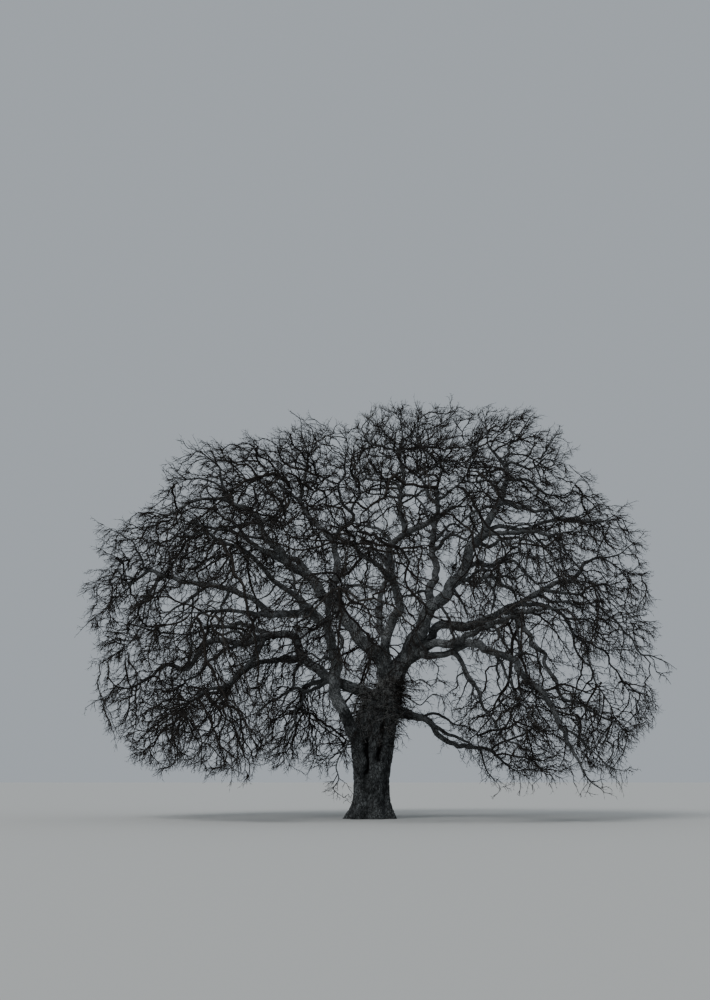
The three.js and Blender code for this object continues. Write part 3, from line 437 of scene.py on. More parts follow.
    ("west_low_link", "low_west_bough", (3.4, 2.6), (0.6, 0.2),
     ((189, 672), (190, 664), (191, 655), (192, 644))),
    ("west_low_curl", "west_low_arm", (2.6, 0.9), (0.0, -0.3),
     ((191, 641), (183, 639), (177, 637), (172, 644), (166, 650), (165, 658), (166, 664))),
    ("west_low_spur", "low_west_bough", (4.0, 1.2), (0.4, 0.0),
     ((306, 663), (299, 670), (295, 678), (295, 687), (289, 695), (284, 703), (280, 714))),
    ("west_low_drop", "low_west_bough", (3.6, 1.0), (1.5, 1.9, 2.2),
     ((241, 647), (233, 651), (225, 652), (218, 659), (208, 665), (203, 673), (197, 679), (188, 683),
      (182, 692), (181, 702), (176, 714))),
    ("low_west_lower", "low_west_bough", (5.2, 1.4), (0.8, 0.4, 0.0, -0.4),
     ((302, 657), (295, 662), (287, 662), (276, 666), (265, 666), (257, 669), (241, 674), (236, 680),
      (231, 688), (220, 694), (210, 696), (201, 703), (192, 714))),
    ("low_west_under", "low_west_bough", (4.6, 1.2), (0.4, -0.2, -0.8, -1.2),
     ((331, 682), (322, 689), (313, 693), (305, 695), (297, 691), (289, 695), (281, 701), (270, 706),
      (259, 715), (247, 721), (240, 732))),
    ("low_west_hang", "low_west_under", (2.8, 0.9), (-0.6, -1.2, -1.4),
     ((305, 694), (303, 705), (296, 714), (297, 725), (289, 735), (286, 748), (278, 758))),
    ("west_curtain", "west_bough", (2.4, 0.8), (-1.2, -1.4),
     ((158, 578), (154, 590), (148, 601), (145, 613), (143, 625), (138, 636), (131, 646), (122, 654),
      (110, 661), (99, 665))),
    ("west_curtain_inner", "west_bough", (2.2, 0.8), (-1.8, -2.2),
     ((156, 580), (156, 592), (152, 604), (150, 617), (147, 630), (142, 641), (134, 650), (126, 659))),
    ("near_west_drop", "near_west_shoulder_bough", (2.5, 1.2), (-2.6, -2.2),
     ((283, 589), (276, 588), (270, 596), (264, 600), (258, 602))),
    ("hang_left", "low_hang", (1.8, 0.8), (-2.6, -2.6), ((466, 683), (463, 691), (460, 699), (452, 712))),
    ("hang_mid", "low_hang", (1.8, 0.8), (-3.0, -3.2), ((468, 689), (471, 697), (471, 706), (468, 718))),
    ("hang_fourth", "near_east_low_bough", (2.0, 0.8), (-3.0, -3.0),
     ((512, 668), (517, 683), (518, 691), (520, 698), (525, 708), (528, 716))),
    ("hang_fifth", "near_east_low_bough", (2.4, 1.2), (-4.4, -4.6),
     ((526, 685), (529, 690), (530, 697), (534, 701), (540, 704), (544, 709))),
    ("arch_net_high", "low_west_bough", (1.8, 0.7), (0.6, 0.2),
     ((290, 650), (283, 650), (277, 657), (272, 663), (266, 668))),
    ("arch_net_mid", "low_west_bough", (1.6, 0.7), (0.8, 0.6),
     ((268, 646), (262, 652), (257, 658), (252, 664), (249, 672))),
    ("arch_fall", "low_west_bough", (2.4, 0.8), (0.2, -0.4),
     ((258, 645), (256, 655), (251, 663), (246, 672), (240, 681), (237, 692))),
    ("sill_drop_west", "low_west_bough", (1.8, 0.7), (0.0, -0.8),
     ((293, 655), (268, 668), (264, 680), (258, 688), (250, 694), (246, 706))),
    ("sill_drop_mid", "low_west_bough", (1.8, 0.7), (0.2, -0.4),
     ((293, 655), (270, 668), (269, 680), (265, 690), (262, 702), (256, 712))),
    ("sill_drop_east", "low_west_bough", (1.8, 0.7), (0.4, 0.0),
     ((300, 660), (284, 668), (283, 678), (284, 688), (276, 696), (268, 706))),
)

# Where the photo shows a fine net of twigs: a pixel, half a width, half a height, its nearest and furthest
# depth and its count of targets.
NETS = (
    (275, 655, 32, 44, -1.5, 3.0, 620),
    (286, 606, 18, 10, -2.0, 1.0, 60),
    (262, 690, 40, 18, -1.0, 3.0, 220),
    (316, 640, 14, 34, -1.0, 2.0, 120),
    (290, 732, 52, 34, -1.5, 3.5, 420),
    (106, 605, 14, 44, -1.5, 2.0, 25),
    (407, 415, 16, 8, -1.0, 1.0, 30),
    (450, 418, 16, 11, -1.0, 1.5, 60),
    (479, 418, 12, 11, -1.0, 1.0, 45),
    (522, 417, 12, 10, -1.0, 1.0, 45),
    (322, 446, 14, 14, -2.0, 2.0, 60),
    (214, 452, 16, 12, -1.5, 1.5, 60),
    (332, 545, 28, 30, 3.0, 7.5, 230),
    (283, 550, 22, 46, -7.5, -4.0, 170),
    (466, 596, 20, 40, -7.5, -4.5, 130),
    (478, 668, 16, 22, -2.0, -0.4, 45),
    (640, 560, 8, 20, -0.8, 0.8, 30),
    (180, 470, 14, 14, -1.0, 1.5, 50),
    (367, 560, 26, 40, 4.0, 8.0, 90),
    (388, 690, 14, 16, 1.5, 6.5, 150),
    (312, 432, 18, 10, -1.0, 1.5, 40),
)

# Where the crown is more open than elsewhere: a pixel, half a width, half a height, and the share of targets
# kept there. Shares multiply where rows overlap, and a share above 1 makes the crown closer.
OPENINGS = (
    (568, 655, 42, 48, 0.6),
    (590, 700, 46, 34, 0.55),
    (615, 665, 30, 46, 0.7),
    (492, 548, 62, 46, 0.62),
    (556, 580, 44, 60, 0.62),
    (163, 636, 34, 32, 0.62),
    (515, 532, 34, 22, 0.6),
    (474, 532, 26, 26, 0.65),
    (96, 622, 15, 42, 0.5),
    (665, 700, 18, 25, 0.1),
    (498, 618, 18, 14, 0.5),
    (476, 562, 14, 16, 0.6),
    (395, 500, 26, 34, 0.6),
    (478, 616, 20, 18, 0.6),
    (206, 614, 44, 26, 0.42),
    (304, 596, 30, 24, 1.2),
    (112, 610, 30, 62, 1.2),
    (393, 654, 9, 18, 0.0),
    (425, 685, 27, 27, 0.6),
    (430, 636, 10, 14, 0.1),
    (438, 597, 8, 8, 0.1),
    (346, 638, 7, 8, 0.1),
    (525, 652, 52, 26, 0.35),
    (518, 522, 18, 6, 0.3),
    (417, 500, 11, 17, 0.3),
    (375, 515, 18, 10, 0.35),
    (365, 578, 19, 15, 0.3),
    (450, 562, 8, 15, 0.3),
    (406, 580, 6, 19, 0.2),
)
MOST_SHARE = 1.6  # the highest share of all: so many times the targets are drawn, and then thinned

# Tangles of short sprays: a pixel, a depth, a size in metres and a count.
TANGLES = (
    (454, 572, -0.5, 0.14, 150),
    (167, 577, -1.35, 0.13, 120),
    (404, 716, 0.2, 0.22, 90),
    (421, 721, 0.9, 0.2, 60),
    (526, 684, -4.6, 0.13, 80),
    (562, 541, -6.2, 0.12, 60),
    (148, 600, -0.9, 0.15, 60),
)

# The trunk's height, its middle line's right and its radius, level by level, close to the frame's own.
TRUNK_LEVELS = np.array([
    (0.0, 0.0, 0.99), (0.18, 0.02, 0.92), (0.38, 0.05, 0.83), (0.7, 0.07, 0.735), (1.0, 0.08, 0.71),
    (1.6, 0.09, 0.72), (2.1, 0.1, 0.77), (2.6, 0.12, 0.86), (3.2, 0.15, 0.9), (3.9, 0.25, 0.89),
    (4.5, 0.42, 0.84), (4.9, 0.6, 0.72), (5.3, 0.76, 0.6), (5.8, 0.93, 0.46), (6.2, 1.02, 0.34),
])
TRUNK_HEIGHTS, TRUNK_MIDDLES, TRUNK_RADII = TRUNK_LEVELS.T
TRUNK_RINGS = 150
TRUNK_SIDES = 120
TRUNK_VOXEL = 0.0292
TRUNK_PLATE = 0.12  # the width of a plate of its bark
TRUNK_TOP = 5.0  # its clefts and deepest cracks end at this height
TRUNK_SWELL = 0.022  # how far it swells by slow noise
FOOT_CRACKS = 0.03  # how deep the cracks are on the boughs' feet, and how much deeper on the trunk
MORE_CRACKS = 0.018
# Furrows in the trunk: bearing, half width in radians, lowest and highest height, and depth.
TRUNK_CLEFTS = (
    (-1.90, 0.095, 1.5, 3.5, 0.28),
    (-1.20, 0.105, 2.1, 4.7, 0.28),
    (-1.5, 0.06, 0.3, 1.9, 0.06),
    (-2.45, 0.07, 0.4, 3.0, 0.08),
    (-0.45, 0.08, 0.5, 3.4, 0.06),
    (0.5, 0.08, 1.0, 4.2, 0.14),
    (1.35, 0.07, 0.4, 3.2, 0.12),
    (2.2, 0.08, 1.2, 4.4, 0.15),
    (2.95, 0.07, 0.5, 2.8, 0.1),
)
BUTTRESSES = 6
BUTTRESS_DEPTH = 0.14
FLUTE_DEPTH = 0.035
FLARE_HEIGHT = 1.3

# How much of each bough's foot is joined into the trunk's mesh.
FOOT_LENGTH = {
    "great_west_bough": 1.9,
    "great_east_bough": 2.0,
    "centre_bough": 1.9,
    "west_riser_bough": 2.2,
    "low_west_bough": 2.4,
    "low_east_bough": 1.5,
    "far_low_bough": 1.9,
    "east_bough": 1.7,
    "near_east_low_bough": 1.7,
}
FOOT_SIDES = 40
SEAM = 0.3  # over this length a bough's own mesh comes out of the trunk's mesh

SPAN_STEPS = 12  # points of a curve between two knots
BOUGH_SPACING = 0.05
SIDE_LIMB_SPACING = 0.06
ROUTE_SWAY = 0.09  # how far noise bends a bough on a route aside, and those that a trace bends already
TRACE_SWAY = 0.03
SIDE_LIMB_SWAY = 0.07
EASE_LENGTH = 0.8  # a limb's bends ease in over this length
SLOW_BENDS = 0.75  # its slow bends to the metre
SIDE_WIDTH = 0.034  # the width of one facet of a limb's bark
COLLAR_FLARE = 0.35  # how much wider than itself a limb leaves its carrier
PLATE_LENGTH = 3.2  # a plate of bark's length over its width
CRACK_WIDTH = 0.16  # a crack's width over a plate's
CRACK_SHARE = 0.11  # a crack's depth over a limb's radius
SWELL_SCALE = np.array([2.5, 2.5, 0.9])  # swellings to the metre, across and along a limb
SWELL = 0.10  # how far they swell a limb, over its radius
LUMP_SCALE = np.array([7.0, 7.0, 3.0])  # the same for its smaller lumps
LUMPS = 0.05

HEART_RIGHT = 0.4  # the crown's middle line stands this far right
HEART_HEIGHT = 8.0  # the crown spreads away from a heart this high on its middle line
INWARD_LIMIT = -0.5  # a target further back than this cosine from the outward way pulls nothing
LEAST_OUTWARD = 0.1  # a new joint leads at least this far outwards
MOST_CHILDREN = 3
ARM_CARRIER = 0.19  # arms and twigs grow from limbs thinner than this
TWIG_CARRIER = 0.13  # and crowd round limbs thinner than this
END_POINTS = 16  # points of a limb's last metre
CORE_LACK = 0.65  # so much less of the crown's targets is kept from CORE_DEPTH inwards
CORE_DEPTH = 1.2
WAVER = 0.09  # how far noise moves a grown joint aside, and chance each way
KINK = 0.045
TWIG_RADIUS = 0.0135
PIPE_POWER = 2.65  # a twig's radius to this power is the sum of what it carries
TUBE_SIDES = ((3, 0.0, 0.018), (4, 0.018, 0.04), (6, 0.04, 9.0))  # a twig's sides, by radius at its foot

TRUNK_SHOOTS = 170
SHOOT_RADIUS = 0.03
SHOOTS_FROM = 2.9  # shoots stand on the trunk from this height, over SHOOTS_RISE
SHOOTS_RISE = 3.0
SPRAY_LIMB = 0.26  # sprays stand on limbs thinner than this
PALE_SHARE = 0.7  # the share of the trunk's sprays that are pale
SPRAY_TWIGS = 2
SKIN_DEPTH = 0.5  # joints nearer than this to a solid's faces carry two sprays
SPRAY_CARRIER = 0.036  # sprays stand on twigs thinner than this


def unit(vectors):
    """Each vector divided by its own length."""
    return vectors / np.maximum(np.linalg.norm(vectors, axis=-1, keepdims=True), 1e-9)


def placed(sights):
    """Real places of sighted points: right and up from the eye spread by 1 + deep / distance."""
    right, deep, up = np.asarray(sights, float).T
    spread = 1.0 + deep / SIGHT_DISTANCE
    return np.stack([right * spread, deep, EYE_HEIGHT + (up - EYE_HEIGHT) * spread], axis=1)


def pixels_of(places):
    """The frame's pixels of real places: placed reversed, then metres over PIXEL from the trunk's foot."""
    spread = 1.0 + places[:, 1] / SIGHT_DISTANCE
    up = EYE_HEIGHT + (places[:, 2] - EYE_HEIGHT) / spread
    return np.stack([FRAME_FOOT[0] + places[:, 0] / spread / PIXEL, FRAME_FOOT[1] - up / PIXEL], axis=1)


def run_along(line):
    """The running length of a polyline at each of its points."""
    return np.concatenate([[0.0], np.cumsum(np.linalg.norm(np.diff(line, axis=0), axis=1))])


def shares_along(line):
    """Each point's share of the way along its polyline: its running length over the whole length."""
    run = run_along(line)
    return run / run[-1]


def length_of(line):
    """A polyline's length: the sum of its steps."""
    return np.sum(np.linalg.norm(np.diff(line, axis=0), axis=1))


def blended(at, known, rows):
    """Rows of numbers at new places of a scale, each blended evenly between the two known rows beside it."""
    return np.stack([np.interp(at, known, column) for column in rows.T], axis=1)


def trace_knots(trace, depths):
    """Real knots of a trace: its pixels in metres right and up, with the depths spread evenly along it."""
    pixels = np.array(trace, float)
    right = (pixels[:, 0] - FRAME_FOOT[0]) * PIXEL
    up = (FRAME_FOOT[1] - pixels[:, 1]) * PIXEL
    share = shares_along(np.stack([right, up], axis=1))
    deep = np.interp(share, np.linspace(0.0, 1.0, len(depths)), depths)
    return placed(np.stack([right, deep, up], axis=1))


def curve_through(knots, spacing):
    """A centripetal Catmull-Rom curve: each span blends four knots by the square roots of their distances.

    Its points are then moved to equal distances of about spacing along it.
    """
    p = np.vstack([2 * knots[0] - knots[1], knots, 2 * knots[-1] - knots[-2]])
    a, b, c, d = (q[:, None] for q in (p[:-3], p[1:-2], p[2:-1], p[3:]))
    t0 = 0.0
    t1 = t0 + np.sqrt(np.linalg.norm(b - a, axis=2, keepdims=True))
    t2 = t1 + np.sqrt(np.linalg.norm(c - b, axis=2, keepdims=True))
    t3 = t2 + np.sqrt(np.linalg.norm(d - c, axis=2, keepdims=True))
    t = t1 + (t2 - t1) * np.linspace(0.0, 1.0, SPAN_STEPS + 1)[None, :-1, None]

    def mixed(low, high, first, second):
        return ((high - t) * first + (t - low) * second) / (high - low)

    ab = mixed(t0, t1, a, b)
    bc = mixed(t1, t2, b, c)
    cd = mixed(t2, t3, c, d)
    points = mixed(t1, t2, mixed(t0, t2, ab, bc), mixed(t1, t3, bc, cd))
    points = np.vstack([points.reshape(-1, 3), knots[-1]])
    run = run_along(points)
    return blended(np.linspace(0.0, run[-1], max(4, int(run[-1] / spacing) + 1)), run, points)


def resampled(line, radius, spacing):
    """The line and its radii at equal distances of about spacing."""
    share = shares_along(line)
    even = np.linspace(0.0, 1.0, max(4, int(length_of(line) / spacing) + 1))
    return blended(even, share, line), np.interp(even, share, radius)


def lattice(cells, seed):
    """A number from 0 to 1 for each whole-numbered cell, by mixing its three indices and the seed."""
    i = cells.astype(np.int64).astype(np.uint32)
    x, y, z = i[..., 0], i[..., 1], i[..., 2]
    h = x * np.uint32(374761393) + y * np.uint32(668265263) + z * np.uint32(2246822519)
    h = h + np.uint32(seed * 40503 + 7)
    h = (h ^ (h >> np.uint32(13))) * np.uint32(1274126177)
    h = h ^ (h >> np.uint32(16))
    return h.astype(np.float64) / 4294967295.0


def noise(points, seed):
    """Smooth noise from -1 to 1: the eight lattice numbers round a point, blended by eased shares."""
    base = np.floor(points)
    share = points - base
    share = share * share * (3.0 - 2.0 * share)
    total = np.zeros(points.shape[:-1])
    for corner in range(8):
        step = np.array([corner & 1, corner >> 1 & 1, corner >> 2 & 1])
        weight = np.prod(np.where(step, share, 1.0 - share), axis=-1)
        total += weight * lattice(base + step, seed)
    return 2.0 * total - 1.0


def crack_distance(points, seed):
    """How far a point is from the border of its bark plate: second less first distance to jittered cells."""
    base = np.floor(points)
    first = np.full(points.shape[:-1], 9.0)
    second = np.full(points.shape[:-1], 9.0)
    for step in np.ndindex(3, 3, 3):
        cell = base + (np.array(step) - 1)
        jitter = np.stack([lattice(cell, seed + 11 * axis) for axis in range(3)], axis=-1)
        reach = np.linalg.norm(cell + jitter - points, axis=-1)
        second = np.minimum(second, np.maximum(first, reach))
        first = np.minimum(first, reach)
    return second - first


def bark_relief(grain, plate, seed):
    """Bark's depth below its plates, from 0 on a plate to 1 in a crack.

    grain is a place on the straightened limb, whose third number runs along it. Plates are plate wide and
    PLATE_LENGTH times as long, and their borders wander by noise. The depth is exp(-(d / CRACK_WIDTH)^2) at d
    from a border, plus a little fine noise.
    """
    wander = np.stack([noise(grain / (1.6 * plate), seed + 50 + axis) for axis in range(3)], axis=-1)
    points = grain / np.array([plate, plate, PLATE_LENGTH * plate]) + 0.4 * wander
    crack = np.exp(-((crack_distance(points, seed) / CRACK_WIDTH) ** 2))
    return np.clip(crack + 0.22 * (noise(grain / (0.3 * plate), seed + 9) + 1.0) / 2.0, 0.0, 1.2)


def cross_frame(line):
    """Two unit vectors square to the line at each point, and its tangents.

    The first is built from the fixed direction that the tangents lean along least, so it never flips.
    """
    tangent = unit(np.gradient(line, axis=0))
    fixed = np.linalg.svd(tangent, full_matrices=False)[2][-1]
    side = unit(fixed - (tangent @ fixed)[:, None] * tangent)
    return np.cross(side, tangent), side, tangent


def circles(across, side, count):
    """At each point of a line, count unit vectors evenly round the circle that across and side span there."""
    angle = np.linspace(0.0, 2.0 * np.pi, count, endpoint=False)
    return np.cos(angle)[None, :, None] * across[:, None] + np.sin(angle)[None, :, None] * side[:, None]


def limb_radius(foot, tip, share):
    """tip + (foot - tip) * (1 - share) ^ 1.15, thinned to a third over the last quarter of the limb."""
    radius = tip + (foot - tip) * (1.0 - share) ** 1.15
    fade = np.clip((share - 0.72) / 0.28, 0.0, 1.0)
    return radius * (1.0 - 0.68 * fade * fade * (3.0 - 2.0 * fade))


def gnarled(line, radius, sway, seed):
    """The line moved aside by noise: sway at most, easing in from the foot, plus up to half its radius.

    The slow bends come SLOW_BENDS to the metre. The fine ones come closer on a thinner limb.
    """
    run = shares_along(line) * length_of(line)
    ease = np.clip(run / EASE_LENGTH, 0.0, 1.0)
    bends = np.clip(0.32 / np.median(radius), 1.6, 4.5)
    moved = line.copy()
    for axis in range(3):
        slow = np.stack(np.broadcast_arrays(run * SLOW_BENDS, seed * 1.37, axis * 5.1), axis=-1)
        fine = np.stack(np.broadcast_arrays(run * bends, seed * 2.11, axis * 3.3), axis=-1)
        moved[:, axis] += ease * (sway * noise(slow, seed) + 0.5 * radius * noise(fine, seed + 3))
    return moved


def make_limbs():
    """Every bough and side limb: its line, its radii, and the bough of the frame that it belongs to."""
    limbs = {}
    for order, (name, radii, depths, course) in enumerate(BOUGHS):
        if depths is None:
            knots = placed(course)
            sway = ROUTE_SWAY
        else:
            knots = trace_knots(course, depths)
            sway = TRACE_SWAY
        line = curve_through(knots, BOUGH_SPACING)
        radius = limb_radius(*radii, shares_along(line))
        limbs[name] = {"line": gnarled(line, radius, sway, order + 1), "radius": radius, "bough": name}
    for order, (name, parent, widths, depths, trace) in enumerate(SIDE_LIMBS):
        carrier = limbs[parent]
        foot = int(np.argmin(np.linalg.norm(pixels_of(carrier["line"]) - np.array(trace[0]), axis=1)))
        knots = trace_knots(trace, (carrier["line"][foot, 1],) + depths)
        knots[0] = carrier["line"][foot]
        foot_radius = min(widths[0] * PIXEL / 2.0, 0.85 * carrier["radius"][foot])
        line = curve_through(knots, SIDE_LIMB_SPACING)
        radius = limb_radius(foot_radius, widths[1] * PIXEL / 2.0, shares_along(line))
        line = gnarled(line, radius, SIDE_LIMB_SWAY, order + 60)
        limbs[name] = {"line": line, "radius": radius, "bough": carrier["bough"]}
    for limb in limbs.values():
        limb["axes"] = cross_frame(limb["line"])[:2]
    return limbs


def rows_of(items, name):
    """A vector of each vertex of a mesh, such as its place, as rows of an array."""
    rows = np.empty(len(items) * 3, np.float32)
    items.foreach_get(name, rows)
    return rows.reshape(-1, 3)


def name_numbers(mesh, name, values):
    """Gives each vertex its number, or its row of three, under a name that the materials read."""
    values = np.asarray(values, np.float32)
    kind, field = ("FLOAT", "value") if values.ndim == 1 else ("FLOAT_VECTOR", "vector")
    mesh.attributes.new(name, kind, "POINT").data.foreach_set(field, values.ravel())


def mesh_piece(name, vertices, faces, kinds=None, finishes=()):
    """A mesh object at the origin from arrays: faces is a list of index arrays, one row to a face."""
    mesh = bpy.data.meshes.new(name)
    mesh.vertices.add(len(vertices))
    mesh.vertices.foreach_set("co", np.asarray(vertices, np.float32).ravel())
    corners = np.concatenate([np.asarray(f).ravel() for f in faces]).astype(np.int32)
    sizes = np.concatenate([np.full(len(f), np.asarray(f).shape[1]) for f in faces])
    starts = np.concatenate([[0], np.cumsum(sizes)[:-1]]).astype(np.int32)
    mesh.loops.add(len(corners))
    mesh.loops.foreach_set("vertex_index", corners)
    mesh.polygons.add(len(sizes))
    mesh.polygons.foreach_set("loop_start", starts)
    mesh.polygons.foreach_set("use_smooth", np.ones(len(sizes), bool))
    for finish in finishes:
        mesh.materials.append(finish)
    if kinds is not None:
        mesh.polygons.foreach_set("material_index", np.asarray(kinds, np.int32))
    mesh.update(calc_edges=True)
    piece = bpy.data.objects.new(name, mesh)
    bpy.context.scene.collection.objects.link(piece)
    return piece


def band_quads(first, sides):
    """Quads between each ring of points that begins at first and the ring that follows it."""
    low = first[:, None]
    side = np.arange(sides)[None, :]
    after = (side + 1) % sides
    quads = np.stack([low + side, low + after, low + sides + after, low + sides + side], axis=-1)
    return quads.reshape(-1, 4)


def ring_faces(rings, sides, start):
    """Quads between the rings of a tube whose first point is start, and its two end rings as faces."""
    side = np.arange(sides)[None, :] + start
    return band_quads(np.arange(rings - 1) * sides + start, sides), side[:, ::-1], (rings - 1) * sides + side


def bark_tube(line, radius, run, frame_axes, sides, plate, seed, flare, collar_length):
    """A limb's barked surface: circles square to the line, with plates and cracks pressed into them.

    A circle's radius is swollen by slow noise, and widened at the foot by flare * exp(-(run / length)^2), so
    that the limb runs out of its carrier in a collar. Cracks are pressed in by CRACK_SHARE of the radius.
    """
    angle = np.linspace(0.0, 2.0 * np.pi, sides, endpoint=False)
    wide = np.repeat(radius[:, None], sides, axis=1)
    far = np.repeat(run[:, None], sides, axis=1)
    grain = np.stack([wide * np.cos(angle), wide * np.sin(angle), far], axis=-1)
    swell = noise(grain * SWELL_SCALE + seed * 3.7, seed)
    lumps = noise(grain * LUMP_SCALE + seed * 1.9, seed + 1)
    collar = 1.0 + flare * np.exp(-((run / collar_length) ** 2))[:, None]
    depth = np.clip(CRACK_SHARE * wide, 0.002, 0.022)
    surface = wide * collar * (1.0 + SWELL * swell + LUMPS * lumps)
    surface = surface - depth * bark_relief(grain + seed * 0.77, plate, seed + 5)
    points = line[:, None] + surface[..., None] * circles(*frame_axes, sides)
    return points.reshape(-1, 3), grain.reshape(-1, 3)


def trunk_radius(angle, height):
    """The trunk's radius by bearing and height, as in the frame: its level's radius times 1 + flare * ribs.

    The flare fades as exp(-height / FLARE_HEIGHT). Six ribs and a broad lean make the buttresses, and finer
    ribs that wander with height make the flutes.
    """
    level = np.interp(height, TRUNK_HEIGHTS, TRUNK_RADII)
    flare = BUTTRESS_DEPTH * np.exp(-height / FLARE_HEIGHT) + FLUTE_DEPTH
    rib = np.cos(BUTTRESSES * angle + 0.5) + 0.4 * np.cos(2.0 * angle - 1.1)
    wander = 0.5 * np.sin(0.9 * height + 1.3 * angle)
    flute = 0.03 * np.cos(9.0 * angle + 1.7 + wander) + 0.014 * np.cos(17.0 * angle - 0.6 + 1.4 * wander)
    return level * (1.0 + flare * rib + flute)


def cleft_depth(points):
    """How deep the trunk's clefts are at each point: each a furrow along a bearing, between two heights.

    Its depth falls as exp(-(turn / width)^2) across and eases out over 0.5 m at its ends, and its bearing
    wanders with height.
    """
    height = points[:, 2]
    bearing = np.arctan2(points[:, 1], points[:, 0] - np.interp(height, TRUNK_HEIGHTS, TRUNK_MIDDLES))
    total = np.zeros(len(points))
    for middle, width, low, high, depth in TRUNK_CLEFTS:
        course = middle + 0.07 * np.sin(2.1 * height + 5.0 * middle) + 0.03 * np.sin(6.3 * height)
        turn = (bearing - course + np.pi) % (2.0 * np.pi) - np.pi
        ease = np.clip((height - low) / 0.5, 0.0, 1.0) * np.clip((high - height) / 0.5, 0.0, 1.0)
        total += depth * ease * np.exp(-((turn / width) ** 2))
    return total


def trunk_shell():
    """The trunk as rings from just under the ground to its fork, each moved aside to its level's middle."""
    height = np.linspace(-0.15, TRUNK_HEIGHTS[-1], TRUNK_RINGS)
    angle = np.linspace(0.0, 2.0 * np.pi, TRUNK_SIDES, endpoint=False)
    height, angle = np.meshgrid(height, angle, indexing="ij")
    reach = trunk_radius((angle + np.pi) % (2.0 * np.pi) - np.pi, np.maximum(height, 0.0))
    middle = np.interp(height, TRUNK_HEIGHTS, TRUNK_MIDDLES)
    points = np.stack([middle + reach * np.cos(angle), reach * np.sin(angle), height], axis=-1)
    return points.reshape(-1, 3), ring_faces(TRUNK_RINGS, TRUNK_SIDES, 0)


def bough_foot(name, spacing, beyond):
    """A bough as far as beyond metres past its FOOT_LENGTH: its line, radii and running length."""
    line, radius = resampled(limbs[name]["line"], limbs[name]["radius"], spacing)
    run = shares_along(line) * length_of(line)
    keep = run <= FOOT_LENGTH[name] + beyond
    return line[keep], radius[keep], run[keep]


def foot_tube(name, start):
    """The first part of a bough as a plain closed tube, for joining into the trunk's mesh."""
    line, radius, run = bough_foot(name, 0.05, 0.0)
    collar = 1.0 + 0.22 * np.exp(-((run / 0.9) ** 2))
    fade = np.clip((FOOT_LENGTH[name] - run) / SEAM, 0.0, 1.0)
    reach = radius * collar * (0.86 + 0.14 * fade)
    points = line[:, None] + reach[:, None, None] * circles(*cross_frame(line)[:2], FOOT_SIDES)
    return points.reshape(-1, 3), ring_faces(len(line), FOOT_SIDES, start)


def trunk_grain(points):
    """Grain on the joined trunk: along a bough for a point near its foot, and along the trunk for others."""
    height = points[:, 2]
    right = points[:, 0] - np.interp(height, TRUNK_HEIGHTS, TRUNK_MIDDLES)
    best = np.hypot(right, points[:, 1]) / np.interp(height, TRUNK_HEIGHTS, TRUNK_RADII)
    best = np.where(height > 6.1, 9.0, best)
    grain = np.stack([right, points[:, 1], height], axis=1)
    for order, name in enumerate(FOOT_LENGTH):
        line, radius, run = bough_foot(name, 0.1, 0.2)
        across, side, tangent = cross_frame(line)
        nearest = np.argmin(np.linalg.norm(points[:, None] - line[None], axis=2), axis=1)
        offset = points - line[nearest]
        ratio = np.linalg.norm(offset, axis=1) / radius[nearest]
        closer = ratio < best
        own = np.stack([
            np.sum(offset * across[nearest], axis=1),
            np.sum(offset * side[nearest], axis=1),
            run[nearest] + np.sum(offset * tangent[nearest], axis=1) + 3.0 * (order + 1),
        ], axis=1)
        grain = np.where(closer[:, None], own, grain)
        best = np.where(closer, ratio, best)
    return grain


def make_trunk(finish):
    """The trunk and its boughs' feet as one skin: tubes remeshed and smoothed, then cracked like bark."""
    points, (quads, foot, end) = trunk_shell()
    vertices = [points]
    faces = [quads]
    caps = [foot, end]
    count = len(points)
    for name in FOOT_LENGTH:
        points, (quads, foot, end) = foot_tube(name, count)
        vertices.append(points)
        faces.append(quads)
        caps += [foot, end]
        count += len(points)
    piece = mesh_piece("trunk_bark", np.vstack(vertices), [np.vstack(faces)] + caps)
    remesh = piece.modifiers.new("skin", "REMESH")
    remesh.mode = "VOXEL"
    remesh.voxel_size = TRUNK_VOXEL
    smooth = piece.modifiers.new("soften", "SMOOTH")
    smooth.factor = 0.5
    smooth.iterations = 14
    mesh = bpy.data.meshes.new_from_object(piece.evaluated_get(bpy.context.evaluated_depsgraph_get()))
    piece.modifiers.clear()
    piece.data = mesh
    place = rows_of(mesh.vertices, "co").astype(float)
    normal = rows_of(mesh.vertices, "normal").astype(float)
    grain = trunk_grain(place)
    relief = bark_relief(grain, TRUNK_PLATE, 3)
    on_trunk = np.clip((TRUNK_TOP - place[:, 2]) / 0.8, 0.0, 1.0)
    cleft = cleft_depth(place)
    coarse = noise(grain * np.array([3.0, 3.0, 1.2]), 8)
    depth = FOOT_CRACKS + MORE_CRACKS * on_trunk
    place += normal * (TRUNK_SWELL * coarse - depth * relief - on_trunk * cleft)[:, None]
    place[:, 2] = np.maximum(place[:, 2], 0.0)
    mesh.vertices.foreach_set("co", place.astype(np.float32).ravel())
    name_numbers(mesh, "grain", grain)
    # Painted shade: the bark's colour is darkened in its deep cracks and in the trunk's clefts, where shade
    # falls
    name_numbers(mesh, "painted_shade", np.clip(0.75 * (relief - 0.3) + cleft * on_trunk / 0.2, 0.0, 1.0))
    mesh.polygons.foreach_set("use_smooth", np.ones(len(mesh.polygons), bool))
    mesh.materials.clear()
    mesh.materials.append(finish)
    mesh.update()
    return piece


